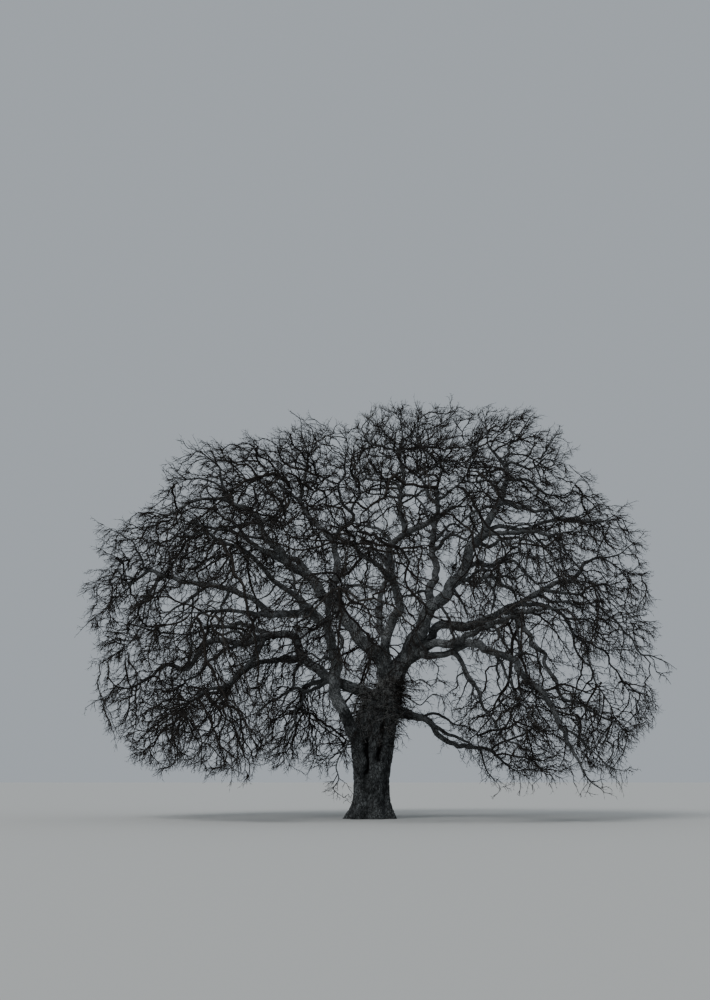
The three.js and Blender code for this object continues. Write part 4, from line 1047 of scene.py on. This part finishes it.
def limb_sections(limb_name, limb, seed):
    """A limb's barked tube in two sections: the stout part, then the rest with fewer sides.

    Sides are about SIDE_WIDTH wide and rings up to two and a half times that apart. A bough that leaves the
    trunk starts inside the trunk's own mesh.
    """
    full_run = run_along(limb["line"])
    stout = limb["radius"].max()
    plate = np.clip(0.42 * np.median(limb["radius"]), 0.035, 0.11)
    from_trunk = limb_name in FOOT_LENGTH
    begin = FOOT_LENGTH[limb_name] - SEAM if from_trunk else 0.0
    change = full_run[np.argmax(limb["radius"] < 0.5 * stout)]
    if change <= begin + 0.5:
        change = full_run[-1] * 0.5
    sections = []
    for low, high in ((begin, change), (change, full_run[-1])):
        thick = np.interp(low, full_run, limb["radius"])
        spacing = np.clip(0.2 * thick, 0.048, 0.085)
        sides = int(np.clip(round(2.0 * np.pi * thick / SIDE_WIDTH), 6, 50))
        run = np.linspace(low, high, max(4, int((high - low) / spacing)))
        line = blended(run, full_run, limb["line"])
        radius = np.interp(run, full_run, limb["radius"])
        axes = [unit(blended(run, full_run, axis)) for axis in limb["axes"]]
        flare = COLLAR_FLARE
        if from_trunk:
            flare = 0.0
            radius = radius * (0.84 + 0.16 * np.clip((run - begin) / SEAM, 0.0, 1.0))
        points, grain = bark_tube(line, radius, run, axes, sides, plate, seed, flare, 2.2 * stout)
        sections.append((points, grain, len(line), sides))
    return sections


def make_bough(name, finish):
    """A bough of the frame and the side limbs that it carries, as one barked mesh.

    A number on its mesh paints shade onto the parts thinner than 0.2, as if the twigs shaded them.
    """
    vertices = []
    grains = []
    faces = []
    count = 0
    for order, (limb_name, limb) in enumerate(limbs.items()):
        if limb["bough"] != name:
            continue
        for points, grain, rings, sides in limb_sections(limb_name, limb, order + 1):
            vertices.append(points)
            grains.append(grain)
            faces += ring_faces(rings, sides, count)
            count += len(points)
    grain = np.vstack(grains)
    piece = mesh_piece(name + "_bark", np.vstack(vertices), faces, finishes=[finish])
    name_numbers(piece.data, "grain", grain)
    # Painted shade: limbs thinner than 0.2 are darkened as if the twigs around them shaded them
    name_numbers(piece.data, "painted_shade", np.clip(4.0 * (0.2 - np.hypot(grain[:, 0], grain[:, 1])), 0.0, 0.6))
    return piece


def frame_solids():
    """The twig solids: their names, their facets as one search tree, each facet's solid, and their box."""
    names = sorted(n for n in frame["nodes"] if "_twigs" in n)
    corners = []
    facets = []
    owners = []
    count = 0
    for owner, name in enumerate(names):
        mesh = frame["nodes"][name].data
        index = np.empty(len(mesh.loops), np.int32)
        mesh.loops.foreach_get("vertex_index", index)
        corners.append(rows_of(mesh.vertices, "co"))
        facets.append(index.reshape(-1, 3) + count)
        owners.append(np.full(len(index) // 3, owner))
        count += len(mesh.vertices)
    corners = np.vstack(corners)
    tree = BVHTree.FromPolygons(corners.tolist(), np.vstack(facets).tolist())
    return names, tree, np.concatenate(owners), (corners.min(axis=0), corners.max(axis=0))


def kept_share(places):
    """The share of targets kept at each place, over MOST_SHARE: its OPENINGS' shares, and slow patches."""
    pixels = pixels_of(places)
    share = np.ones(len(places))
    for right, down, half_width, half_height, kept in OPENINGS:
        inside = ((pixels[:, 0] - right) / half_width) ** 2 + ((pixels[:, 1] - down) / half_height) ** 2 < 1.0
        share = np.where(inside, share * kept, share)
    return share * np.clip(1.1 + 0.5 * noise(places / 1.5, 4), 0.4, 1.0) / MOST_SHARE


def near_frame(places, margin):
    """Whether each place lies in the frame's own box, grown by a margin in metres."""
    low, high = (np.array(corner) for corner in cad_box)
    return np.all((places > low - margin) & (places < high + margin), axis=1)


def limb_targets(count, spread, seed):
    """Seeded places round the thin parts of the limbs, a spread of metres away, also outside the twig solids.

    Half as many again stand round the last metre of each limb, so that each ends in a fan of twigs.
    """
    rng = np.random.default_rng(seed)
    count = int(MOST_SHARE * count)
    line = np.vstack([limb["line"] for limb in limbs.values()])
    radius = np.concatenate([limb["radius"] for limb in limbs.values()])
    thin = line[radius < TWIG_CARRIER]
    offset = spread * np.clip(rng.normal(size=(count, 3)), -1.4, 1.4)
    ends = np.vstack([limb["line"][-END_POINTS:] for limb in limbs.values()])
    places = thin[rng.integers(0, len(thin), count)] + offset
    ends = ends[rng.integers(0, len(ends), count // 2)] + offset[: count // 2]
    places = np.vstack([places, ends])
    places = places[rng.random(len(places)) < kept_share(places)]
    beside = np.hypot(places[:, 0] - 0.3, places[:, 1]) > 1.4
    return places[(places[:, 2] > 1.0) & (beside | (places[:, 2] > 7.0)) & near_frame(places, 0.0)]


def net_targets(seed):
    """Seeded places for the fine nets of twigs: even over each ellipse of NETS and between its two depths."""
    rng = np.random.default_rng(seed)
    places = []
    for right, down, half_width, half_height, near, far, count in NETS:
        angle = rng.uniform(-np.pi, np.pi, count)
        share = np.sqrt(rng.random(count))
        across = (right + half_width * share * np.cos(angle) - FRAME_FOOT[0]) * PIXEL
        up = (FRAME_FOOT[1] - down + half_height * share * np.sin(angle)) * PIXEL
        places.append(placed(np.stack([across, rng.uniform(near, far, count), up], axis=1)))
    places = np.vstack(places)
    return places[near_frame(places, 0.1)]


def is_within(place):
    """Whether a place is inside a solid: the facets straight above and below it both face away from it."""
    above = solid_tree.ray_cast(place, (0.0, 0.0, 1.0))[1]
    below = solid_tree.ray_cast(place, (0.0, 0.0, -1.0))[1]
    return above is not None and below is not None and above[2] > 0.0 and below[2] < 0.0


def crown_targets(spacing, inset, seed):
    """Seeded places at least inset inside the twig solids, for twigs to grow towards.

    MOST_SHARE of them are drawn to each cube of spacing, of which kept_share is kept, and deep inside the
    solids fewer than half of that.
    """
    rng = np.random.default_rng(seed)
    low, high = solid_box
    count = int(MOST_SHARE * int(np.prod(high - low) / spacing**3))
    places = low + rng.random((count, 3)) * (high - low)
    places = places[rng.random(count) < kept_share(places)]
    lots = rng.random(len(places)).tolist()
    kept = []
    for place, lot in zip(places.tolist(), lots):
        distance = solid_tree.find_nearest(place)[3]
        if distance > inset and lot < 1.0 - CORE_LACK * min(distance / CORE_DEPTH, 1.0) and is_within(place):
            kept.append(place)
    return np.array(kept)


def outward(places):
    """The way the crown spreads at each place: up over its middle, level on its shoulders, down at its sides.

    The way's rise to its run is (height - heart - 1.1 * run) / run, where run is the distance from the
    crown's middle line, and never steeper down than 1.4.
    """
    across = places[:, 0] - HEART_RIGHT
    run = np.hypot(across, places[:, 1])
    rise = np.maximum(places[:, 2] - HEART_HEIGHT - 1.1 * run, -1.4 * run - 0.05)
    return unit(np.stack([across, places[:, 1], rise], axis=1))


def wavered(growth, seed):
    """Moves the grown joints aside by smooth noise, up to a hand's breadth, and each a little by lot.

    So no arm runs straight, and each turns by a kink at every joint.
    """
    place = growth["place"]
    seeds = len(growth["limb_radius"])
    aside = np.stack([noise(place / 0.9 + 7.3 * axis, 90 + axis) for axis in range(3)], axis=1)
    kinks = np.random.default_rng(seed).uniform(-1.0, 1.0, (len(place) - seeds, 3))
    place[seeds:] += WAVER * aside[seeds:] + KINK * kinks


def grow(growth, targets, step, kill, reach, drift, momentum, jitter, rounds, seed):
    """Grows twigs towards targets, one step a round, and adds their joints to growth.

    Each target pulls its nearest joint, unless it lies on the inner side of it. A pulled joint sends out a
    new joint along the sum of the unit pulls, its own direction times momentum, the outward way times drift,
    and a random vector times jitter, and always a little outwards. A target is dropped once a joint is within
    kill of it, and pulls only joints within reach.
    """
    rng = np.random.default_rng(seed)
    place = growth["place"]
    parent = growth["parent"]
    heading = growth["heading"]
    children = growth["children"]
    way = outward(place)
    nearest = np.full(len(targets), -1)
    distance = np.full(len(targets), np.inf)
    alive = np.arange(len(targets))
    fresh = np.arange(len(place))
    rows = targets.tolist()
    for _ in range(rounds):
        tree = KDTree(len(fresh))
        for index in fresh.tolist():
            tree.insert(place[index], index)
        tree.balance()
        found = [tree.find(rows[i]) for i in alive.tolist()]
        found_index = np.array([f[1] for f in found])
        found_distance = np.array([f[2] for f in found])
        closer = found_distance < distance[alive]
        nearest[alive[closer]] = found_index[closer]
        distance[alive[closer]] = found_distance[closer]
        alive = alive[distance[alive] > kill]
        pulling = alive[distance[alive] < reach]
        pulling = pulling[children[nearest[pulling]] < MOST_CHILDREN]
        toward = unit(targets[pulling] - place[nearest[pulling]])
        before = np.sum(toward * way[nearest[pulling]], axis=1) > INWARD_LIMIT
        pulling = pulling[before]
        if len(pulling) == 0:
            break
        pulled, group = np.unique(nearest[pulling], return_inverse=True)
        pulls = np.zeros((len(pulled), 3))
        np.add.at(pulls, group, toward[before])
        course = unit(pulls) + momentum * heading[pulled] + drift * way[pulled]
        course = unit(course + jitter * rng.normal(size=course.shape))
        lack = np.maximum(LEAST_OUTWARD - np.sum(course * way[pulled], axis=1), 0.0)
        course = unit(course + 1.1 * lack[:, None] * way[pulled])
        joints = place[pulled] + step * (0.8 + 0.4 * rng.random((len(pulled), 1))) * course
        fresh = np.arange(len(place), len(place) + len(joints))
        children[pulled] += 1
        place = np.vstack([place, joints])
        parent = np.concatenate([parent, pulled])
        heading = np.vstack([heading, course])
        way = np.vstack([way, outward(joints)])
        children = np.concatenate([children, np.zeros(len(joints), int)])
    growth.update(place=place, parent=parent, heading=heading, children=children)


def round_trunk(count, near, far, seed):
    """Seeded places round the upper trunk, from near to far metres outside its bark, where shoots crowd it.

    There are more of them higher up, and they reach further out there.
    """
    rng = np.random.default_rng(seed)
    share = np.sqrt(rng.random(count))
    height = SHOOTS_FROM + SHOOTS_RISE * share
    angle = rng.uniform(-np.pi, np.pi, count)
    reach = trunk_radius(angle, height) + rng.uniform(near, near + (far - near) * (0.25 + 0.75 * share))
    middle = np.interp(height, TRUNK_HEIGHTS, TRUNK_MIDDLES)
    return np.stack([middle + reach * np.cos(angle), reach * np.sin(angle), height], axis=1)


def seeded_growth():
    """Joints along the limbs and on the upper trunk, with their radii, for arms and twigs to grow from."""
    shoots = round_trunk(TRUNK_SHOOTS, near=-0.08, far=-0.04, seed=29)
    places = [shoots]
    headings = [unit(shoots * np.array([1.0, 1.0, 0.0]))]
    radii = [np.full(TRUNK_SHOOTS, SHOOT_RADIUS)]
    for limb in limbs.values():
        line, radius = resampled(limb["line"], limb["radius"], 0.2)
        heading = unit(np.gradient(line, axis=0))
        keep = radius < ARM_CARRIER
        keep[:3] = False
        places.append(line[keep])
        headings.append(heading[keep])
        radii.append(radius[keep])
    place = np.vstack(places)
    return {
        "place": place,
        "parent": np.full(len(place), -1),
        "heading": np.vstack(headings),
        "children": np.zeros(len(place), int),
        "limb_radius": np.concatenate(radii),
    }


def twig_chains(growth):
    """Joints joined into chains that run from a fork to a tip, each following its thickest child.

    A joint's radius to PIPE_POWER is the sum of its children's, and a tip's radius is TWIG_RADIUS. Returns
    each chain's joints, its first being the joint that it leaves, and every joint's radius.
    """
    parent = growth["parent"]
    seeds = len(growth["limb_radius"])
    count = len(parent)
    load = np.zeros(count)
    tips = np.ones(count, bool)
    tips[parent[seeds:]] = False
    load[tips] = TWIG_RADIUS**PIPE_POWER
    parents = parent.tolist()
    loads = load.tolist()
    heaviest = [-1] * count
    heaviest_load = [0.0] * count
    for joint in range(count - 1, seeds - 1, -1):
        above = parents[joint]
        loads[above] += loads[joint]
        if loads[joint] > heaviest_load[above]:
            heaviest_load[above] = loads[joint]
            heaviest[above] = joint
    radius = np.array(loads) ** (1.0 / PIPE_POWER)
    radius[:seeds] = growth["limb_radius"]
    chains = []
    for joint in range(seeds, count):
        above = parents[joint]
        if above >= seeds and heaviest[above] == joint:
            continue
        chain = [above, joint]
        while heaviest[chain[-1]] >= 0:
            chain.append(heaviest[chain[-1]])
        chains.append(chain)
    return chains, radius


def chain_tubes(place, radius, chains, sides, rng):
    """Thin closed tubes along chains, as whole arrays: vertices, quads, end faces, and each face's chain.

    Each ring stands square to the chain's own direction there, on a fixed vector drawn once for each chain.
    """
    lengths = np.array([len(c) for c in chains])
    joints = np.concatenate([np.asarray(c) for c in chains])
    chain_of = np.repeat(np.arange(len(chains)), lengths)
    first = np.concatenate([[0], np.cumsum(lengths)[:-1]])
    last = first + lengths - 1
    at = place[joints]
    wide = radius[joints].copy()
    wide[first] = np.minimum(0.9 * wide[first], 1.25 * wide[first + 1])
    wide[last] *= 0.55
    ahead = np.minimum(np.arange(len(joints)) + 1, last[chain_of])
    behind = np.maximum(np.arange(len(joints)) - 1, first[chain_of])
    tangent = unit(at[ahead] - at[behind])
    chord = unit(at[last] - at[first])
    fixed = unit(np.cross(chord, rng.normal(size=chord.shape)))[chain_of]
    side = unit(fixed - np.sum(fixed * tangent, axis=1, keepdims=True) * tangent)
    offset = circles(np.cross(side, tangent), side, sides)
    points = (at[:, None] + wide[:, None, None] * offset).reshape(-1, 3)
    inner = np.setdiff1d(np.arange(len(joints)), last)
    corner = np.arange(sides)[None, :]
    ends = np.vstack([first[:, None] * sides + corner[:, ::-1], last[:, None] * sides + corner])
    face_chain = np.concatenate([np.repeat(chain_of[inner], sides)] + 2 * [np.arange(len(chains))])
    return points, band_quads(inner * sides, sides), ends, face_chain


def spray_faces():
    """The triangles of one spray's corners: an axis and side twigs, each a closed three-sided spike."""
    faces = []
    for base in range(0, 4 * (SPRAY_TWIGS + 1), 4):
        faces += [(base, base + 1, base + 3), (base + 1, base + 2, base + 3)]
        faces += [(base + 2, base, base + 3), (base + 2, base + 1, base)]
    return np.array(faces)


def spike(foot, way, side, thick, length):
    """The four corners of a spike at each foot: three round it at thick, and its tip at length along way."""
    ring = foot[:, None] + thick[:, None, None] * circles(np.cross(side, way), side, 3)
    return np.concatenate([ring, (foot + length[:, None] * way)[:, None]], axis=1)


def spray_corners(foot, course, length, thick, seed):
    """Corners of twig sprays: each a straight axis with side twigs.

    Side twigs stand at even shares along the axis, to its left and right by turns, 30 to 65 degrees off it,
    and are about half as long as the axis, shorter towards its tip.
    """
    rng = np.random.default_rng(seed)
    count = len(foot)
    side = unit(np.cross(course, rng.normal(size=course.shape)))
    across = np.cross(side, course)
    corners = [spike(foot, course, side, thick, length)]
    for twig in range(SPRAY_TWIGS):
        share = (twig + 0.4 + 0.6 * rng.random(count)) / (SPRAY_TWIGS + 0.4)
        hand = 1.0 if twig % 2 else -1.0
        aside = unit(hand * side + rng.uniform(-0.8, 0.8, (count, 1)) * across)
        turn = np.radians(rng.uniform(30.0, 65.0, (count, 1)))
        way = np.cos(turn) * course + np.sin(turn) * aside
        base = foot + (share * length)[:, None] * course
        reach = length * (0.72 - 0.32 * share) * rng.uniform(0.7, 1.2, count)
        corners.append(spike(base, way, unit(np.cross(way, across)), 0.75 * thick, reach))
    return np.concatenate(corners, axis=1)


def twig_sprays(growth, radius, seed):
    """Sprays on the thin chains: one on the way to each joint, two near the crown's skin, one at each tip.

    A spray leaves its chain at 30 to 70 degrees and leans outwards, most and longest at the skin. Returns its
    foot, course, length, thickness and joint.
    """
    rng = np.random.default_rng(seed)
    place = growth["place"]
    heading = growth["heading"]
    thin = np.arange(len(place)) >= len(growth["limb_radius"])
    thin &= radius < SPRAY_CARRIER
    joints = np.flatnonzero(thin)
    depth = np.zeros(len(place))
    depth[joints] = [solid_tree.find_nearest(p)[3] for p in place[joints].tolist()]
    tips = np.flatnonzero(thin & (growth["children"] == 0))
    joints = np.concatenate([joints, joints[depth[joints] < SKIN_DEPTH], tips])
    on_skin = np.clip(1.0 - depth[joints] / SKIN_DEPTH, 0.0, 1.0)
    behind = rng.random((len(joints), 1))
    behind[-len(tips) :] = 0.0
    foot = place[joints] + behind * (place[growth["parent"][joints]] - place[joints])
    along = heading[joints]
    aside = unit(np.cross(along, rng.normal(size=along.shape)))
    turn = np.radians(rng.uniform(30.0, 70.0, len(joints)))
    turn[-len(tips) :] *= 0.5
    course = np.cos(turn)[:, None] * along + np.sin(turn)[:, None] * aside
    course = unit(course + (0.4 + 0.4 * on_skin[:, None]) * outward(foot))
    length = rng.uniform(0.16, 0.40, len(joints)) * (1.0 + 0.3 * on_skin)
    thick = rng.uniform(0.0105, 0.0135, len(joints))
    return foot, course, length, thick, joints


def limb_sprays(seed):
    """Short sprays that stand on the boughs and side limbs themselves, at seeded points round them."""
    rng = np.random.default_rng(seed)
    feet = []
    courses = []
    for limb in limbs.values():
        line, radius = resampled(limb["line"], limb["radius"], 0.16)
        tangent = unit(np.gradient(line, axis=0))
        keep = (radius < SPRAY_LIMB) & (rng.random(len(line)) < 0.6)
        line, radius, tangent = line[keep], radius[keep], tangent[keep]
        aside = unit(np.cross(tangent, rng.normal(size=tangent.shape)))
        feet.append(line + 0.9 * radius[:, None] * aside)
        courses.append(unit(aside + 0.5 * tangent + 0.5 * outward(line)))
    foot = np.vstack(feet)
    keep = rng.random(len(foot)) < 0.35 + 0.65 * MOST_SHARE * kept_share(foot)
    foot, course = foot[keep], np.vstack(courses)[keep]
    return foot, course, rng.uniform(0.15, 0.4, len(foot)), rng.uniform(0.0075, 0.0105, len(foot))


def trunk_sprays(seed):
    """Thin sprays that stand close together on the upper trunk's bark and lie half along it."""
    rng = np.random.default_rng(seed)
    foot = round_trunk(2200, near=-0.06, far=0.0, seed=seed)
    out = unit(foot * np.array([1.0, 1.0, 0.0]))
    course = unit(0.6 * out + 0.7 * rng.normal(size=foot.shape))
    return foot, course, rng.uniform(0.2, 0.55, len(foot)), rng.uniform(0.008, 0.012, len(foot))


def tangle_sprays(seed):
    """Dense knots of short sprays where the tree carries a tangle, as TANGLES gives them."""
    rng = np.random.default_rng(seed)
    feet = []
    for right, down, deep, size, count in TANGLES:
        middle = trace_knots(((right, down), (right + 1, down)), (deep, deep))[0]
        feet.append(middle + size * np.clip(rng.normal(size=(count, 3)), -1.5, 1.5))
    foot = np.vstack(feet)
    course = unit(rng.normal(size=foot.shape))
    return foot, course, rng.uniform(0.1, 0.28, len(foot)), rng.uniform(0.008, 0.012, len(foot))


def nearest_solid(places):
    """The number of the twig solid whose surface is nearest to each place."""
    return np.array([facet_owner[solid_tree.find_nearest(place)[2]] for place in places.tolist()])


def grow_crown():
    """Arms grown far apart in the twig solids, then close twigs on them, on the limbs and in the nets."""
    growth = seeded_growth()
    grow(
        growth, crown_targets(spacing=0.68, inset=0.25, seed=21), step=0.3, kill=0.5, reach=4.0,
        drift=0.45, momentum=0.6, jitter=0.3, rounds=60, seed=22,
    )
    targets = [
        crown_targets(spacing=0.355, inset=0.08, seed=25),
        limb_targets(count=5700, spread=0.42, seed=26),
        round_trunk(count=2600, near=0.1, far=1.0, seed=28),
        net_targets(seed=31),
    ]
    grow(
        growth, np.vstack(targets), step=0.24, kill=0.25, reach=2.0,
        drift=0.5, momentum=0.7, jitter=0.3, rounds=40, seed=27,
    )
    wavered(growth, seed=32)
    return growth


def all_sprays(growth, radius, joint_owner):
    """The sprays of twigs, limbs, tangles and trunk: their feet, courses, lengths, thicknesses and solids."""
    foot, course, length, thick, joints = twig_sprays(growth, radius, seed=78)
    rows = [foot, course, length, thick, joint_owner[joints]]
    for more in (limb_sprays(seed=79), tangle_sprays(seed=80), trunk_sprays(seed=82)):
        rows = [np.concatenate(pair) for pair in zip(rows, more + (nearest_solid(more[0]),))]
    inside = near_frame(rows[0] + rows[2][:, None] * rows[1], 0.2)
    return [row[inside] for row in rows]


def make_twigs(finishes):
    """All arms, twigs and sprays, one piece to a twig solid: a chain goes to the solid nearest to its tip.

    Arms and twigs take the first three finishes by lot, and most sprays on the trunk take the fourth.
    """
    growth = grow_crown()
    place = growth["place"]
    chains, radius = twig_chains(growth)
    chain_owner = nearest_solid(place[[chain[-1] for chain in chains]])
    joint_owner = np.full(len(place), -1)
    for chain, owner in zip(chains, chain_owner):
        joint_owner[chain[1:]] = owner
    widest = radius[[chain[1] for chain in chains]]
    foot, course, length, thick, spray_owner = all_sprays(growth, radius, joint_owner)
    corners = spray_corners(foot, course, length, thick, seed=81)
    pattern = spray_faces()
    rng = np.random.default_rng(77)
    spray_kind = rng.choice(3, len(foot), p=(0.5, 0.3, 0.2))
    on_trunk = np.hypot(foot[:, 0] - 0.2, foot[:, 1]) < 1.0
    spray_kind[on_trunk & (rng.random(len(foot)) < PALE_SHARE)] = 3
    for owner, name in enumerate(solid_names):
        vertices = []
        faces = []
        kinds = []
        count = 0
        for sides, least, most in TUBE_SIDES:
            chosen = np.flatnonzero((chain_owner == owner) & (widest >= least) & (widest < most))
            if len(chosen) == 0:
                continue
            points, tube_quads, ends, face_chain = chain_tubes(
                place, radius, [chains[c] for c in chosen], sides, np.random.default_rng(owner + sides)
            )
            chain_kind = rng.choice(3, len(chosen), p=(0.55, 0.3, 0.15))
            vertices.append(points)
            faces += [tube_quads + count, ends + count]
            kinds.append(chain_kind[face_chain])
            count += len(points)
        mine = np.flatnonzero(spray_owner == owner)
        vertices.append(corners[mine].reshape(-1, 3))
        offset = np.arange(len(mine))[:, None, None] * corners.shape[1] + count
        faces.append((pattern[None] + offset).reshape(-1, 3))
        kinds.append(np.repeat(spray_kind[mine], len(pattern)))
        piece = mesh_piece(name + "_grown", np.vstack(vertices), faces, np.concatenate(kinds), finishes)
        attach(piece, "root")
        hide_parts(name)


def add_node(tree, kind, values, sources, **fields):
    """A new node of a tree: its fields, its inputs' fixed values, and the outputs that feed its inputs."""
    node = tree.nodes.new("ShaderNode" + kind)
    for field, value in fields.items():
        setattr(node, field, value)
    for key, value in values.items():
        node.inputs[key].default_value = value
    for key, output in sources.items():
        tree.links.new(output, node.inputs[key])
    return node


def new_material(name, roughness, gloss):
    """A material of one roughness and specular level, and its shader node."""
    material = bpy.data.materials.new(name)
    material.use_nodes = True
    shader = material.node_tree.nodes["Principled BSDF"]
    shader.inputs["Roughness"].default_value = roughness
    shader.inputs["Specular IOR Level"].default_value = gloss
    return material, shader


def bark_group():
    """A node group for bark: cracks between plates, grain along the limb, and mottling.

    Inputs are the place on the straightened limb and how many plates stand side by side in a metre. Outputs
    are the crack mask, the mottling, and a height for bump.
    """
    group = bpy.data.node_groups.new("bark_pattern", "ShaderNodeTree")
    for name, way, kind in (
        ("Place", "INPUT", "Vector"), ("Plates", "INPUT", "Float"),
        ("Crack", "OUTPUT", "Float"), ("Mottle", "OUTPUT", "Float"), ("Height", "OUTPUT", "Float"),
    ):
        group.interface.new_socket(name, in_out=way, socket_type="NodeSocket" + kind)
    source = group.nodes.new("NodeGroupInput")
    result = group.nodes.new("NodeGroupOutput")
    place = source.outputs["Place"]
    squeeze = add_node(group, "VectorMath", {1: (1.0, 1.0, 0.28)}, {0: place}, operation="MULTIPLY")
    drawn_out = {"Vector": squeeze.outputs[0]}
    warp = add_node(group, "TexNoise", {"Scale": 6.0, "Detail": 2.0}, drawn_out)
    mixed = add_node(
        group, "MixRGB", {"Fac": 0.08}, {"Color1": squeeze.outputs[0], "Color2": warp.outputs["Color"]}
    )
    plates = add_node(
        group, "TexVoronoi", {}, {"Vector": mixed.outputs["Color"], "Scale": source.outputs["Plates"]},
        feature="DISTANCE_TO_EDGE",
    )
    crack = add_node(
        group, "MapRange", {"From Min": 0.0, "From Max": 0.16, "To Min": 1.0, "To Max": 0.0},
        {"Value": plates.outputs["Distance"]},
    ).outputs["Result"]
    fibre = add_node(group, "TexNoise", {"Scale": 42.0, "Detail": 5.0, "Roughness": 0.65}, drawn_out)
    mottle = add_node(group, "TexNoise", {"Scale": 2.4, "Detail": 4.0}, {"Vector": place})
    sunk = add_node(group, "Math", {1: -1.0}, {0: crack, 2: fibre.outputs["Fac"]}, operation="MULTIPLY_ADD")
    group.links.new(crack, result.inputs["Crack"])
    group.links.new(mottle.outputs["Fac"], result.inputs["Mottle"])
    group.links.new(sunk.outputs[0], result.inputs["Height"])
    return group


def bark_finish(name, group, plates, plate_colour, pale_colour, crack_and_painted_shade_colour, bump):
    """A bark material: plate colours mottled by noise and darkened in the cracks, with a bump of the same.

    A number on the mesh darkens it further as painted shade, in the trunk's deep cracks and clefts and on
    thin limbs that the twigs shade.
    """
    material, shader = new_material(name, roughness=0.93, gloss=0.18)
    tree = material.node_tree
    grain = add_node(tree, "Attribute", {}, {}, attribute_name="grain")
    painted_shade = add_node(tree, "Attribute", {}, {}, attribute_name="painted_shade")
    pattern = add_node(tree, "Group", {"Plates": plates}, {"Place": grain.outputs["Vector"]}, node_tree=group)
    contrast = add_node(
        tree, "MapRange", {"From Min": 0.38, "From Max": 0.66}, {"Value": pattern.outputs["Mottle"]}
    )
    weathered = add_node(
        tree, "MixRGB", {"Color1": plate_colour, "Color2": pale_colour}, {"Fac": contrast.outputs["Result"]}
    )
    # The darker of the bark's own cracks and the mesh's painted shade picks the crack colour
    deepest = add_node(
        tree, "Math", {}, {0: pattern.outputs["Crack"], 1: painted_shade.outputs["Fac"]}, operation="MAXIMUM"
    )
    cracked = add_node(
        tree, "MixRGB", {"Color2": crack_and_painted_shade_colour},
        {"Fac": deepest.outputs[0], "Color1": weathered.outputs["Color"]},
    )
    height = pattern.outputs["Height"]
    relief = add_node(tree, "Bump", {"Strength": 0.7, "Distance": bump}, {"Height": height})
    tree.links.new(cracked.outputs["Color"], shader.inputs["Base Color"])
    tree.links.new(relief.outputs["Normal"], shader.inputs["Normal"])
    return material


def twig_finish(name, colour, order):
    """A twig material: one plain colour, with a fine speckled bump that differs a little by order."""
    material, shader = new_material(name, roughness=0.9, gloss=0.2)
    tree = material.node_tree
    place = add_node(tree, "TexCoord", {}, {}).outputs["Object"]
    speckle = add_node(tree, "TexNoise", {"Scale": 60.0 + order, "Detail": 3.0}, {"Vector": place})
    relief = add_node(tree, "Bump", {"Strength": 0.5, "Distance": 0.004}, {"Height": speckle.outputs["Fac"]})
    shader.inputs["Base Color"].default_value = colour
    tree.links.new(relief.outputs["Normal"], shader.inputs["Normal"])
    return material


def make_stage():
    """A wide pale floor, even pale surroundings, and one broad soft light high behind the tree's left."""
    corners = 900.0 * np.array([(-1.0, -1.0, 0.0), (1.0, -1.0, 0.0), (1.0, 1.0, 0.0), (-1.0, 1.0, 0.0)])
    pale, shader = new_material("floor_pale", roughness=0.95, gloss=0.5)
    shader.inputs["Base Color"].default_value = (0.56, 0.56, 0.54, 1.0)
    floor = mesh_piece("floor", corners, [np.array([[0, 1, 2, 3]])], finishes=[pale])
    world = bpy.data.worlds.new("soft_world")
    world.use_nodes = True
    world.node_tree.nodes["Background"].inputs["Color"].default_value = (0.52, 0.57, 0.62, 1.0)
    world.node_tree.nodes["Background"].inputs["Strength"].default_value = 0.75
    bpy.context.scene.world = world
    light_data = bpy.data.lights.new("soft_sun", "SUN")
    light_data.energy = 1.6
    light_data.angle = math.radians(28.0)
    light = bpy.data.objects.new("soft_sun", light_data)
    light.rotation_euler = (math.radians(38.0), math.radians(-24.0), 0.0)
    bpy.context.scene.collection.objects.link(light)


limbs = make_limbs()
solid_names, solid_tree, facet_owner, solid_box = frame_solids()

bark_pattern = bark_group()
# Each bark's third colour darkens its cracks and is also the painted shade of the trunk's clefts and of thin
# limbs
trunk_finish = bark_finish(
    "trunk_bark", bark_pattern, 19.0,
    (0.050, 0.054, 0.055, 1.0), (0.190, 0.202, 0.204, 1.0), (0.006, 0.006, 0.006, 1.0), bump=0.03,
)
bough_finish = bark_finish(
    "bough_bark", bark_pattern, 27.0,
    (0.100, 0.107, 0.109, 1.0), (0.280, 0.292, 0.296, 1.0), (0.009, 0.009, 0.009, 1.0), bump=0.014,
)
twig_finishes = [
    twig_finish("twig_brown", (0.024, 0.020, 0.017, 1.0), 1),
    twig_finish("twig_dark", (0.013, 0.011, 0.010, 1.0), 2),
    twig_finish("twig_grey", (0.044, 0.040, 0.036, 1.0), 3),
    twig_finish("twig_pale", (0.26, 0.26, 0.25, 1.0), 4),
]

trunk = make_trunk(trunk_finish)
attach(trunk, "root")
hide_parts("trunk")
for bough_name, *_ in BOUGHS:
    bough_piece = make_bough(bough_name, bough_finish)
    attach(bough_piece, "root")
    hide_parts(bough_name)
make_twigs(twig_finishes)
make_stage()
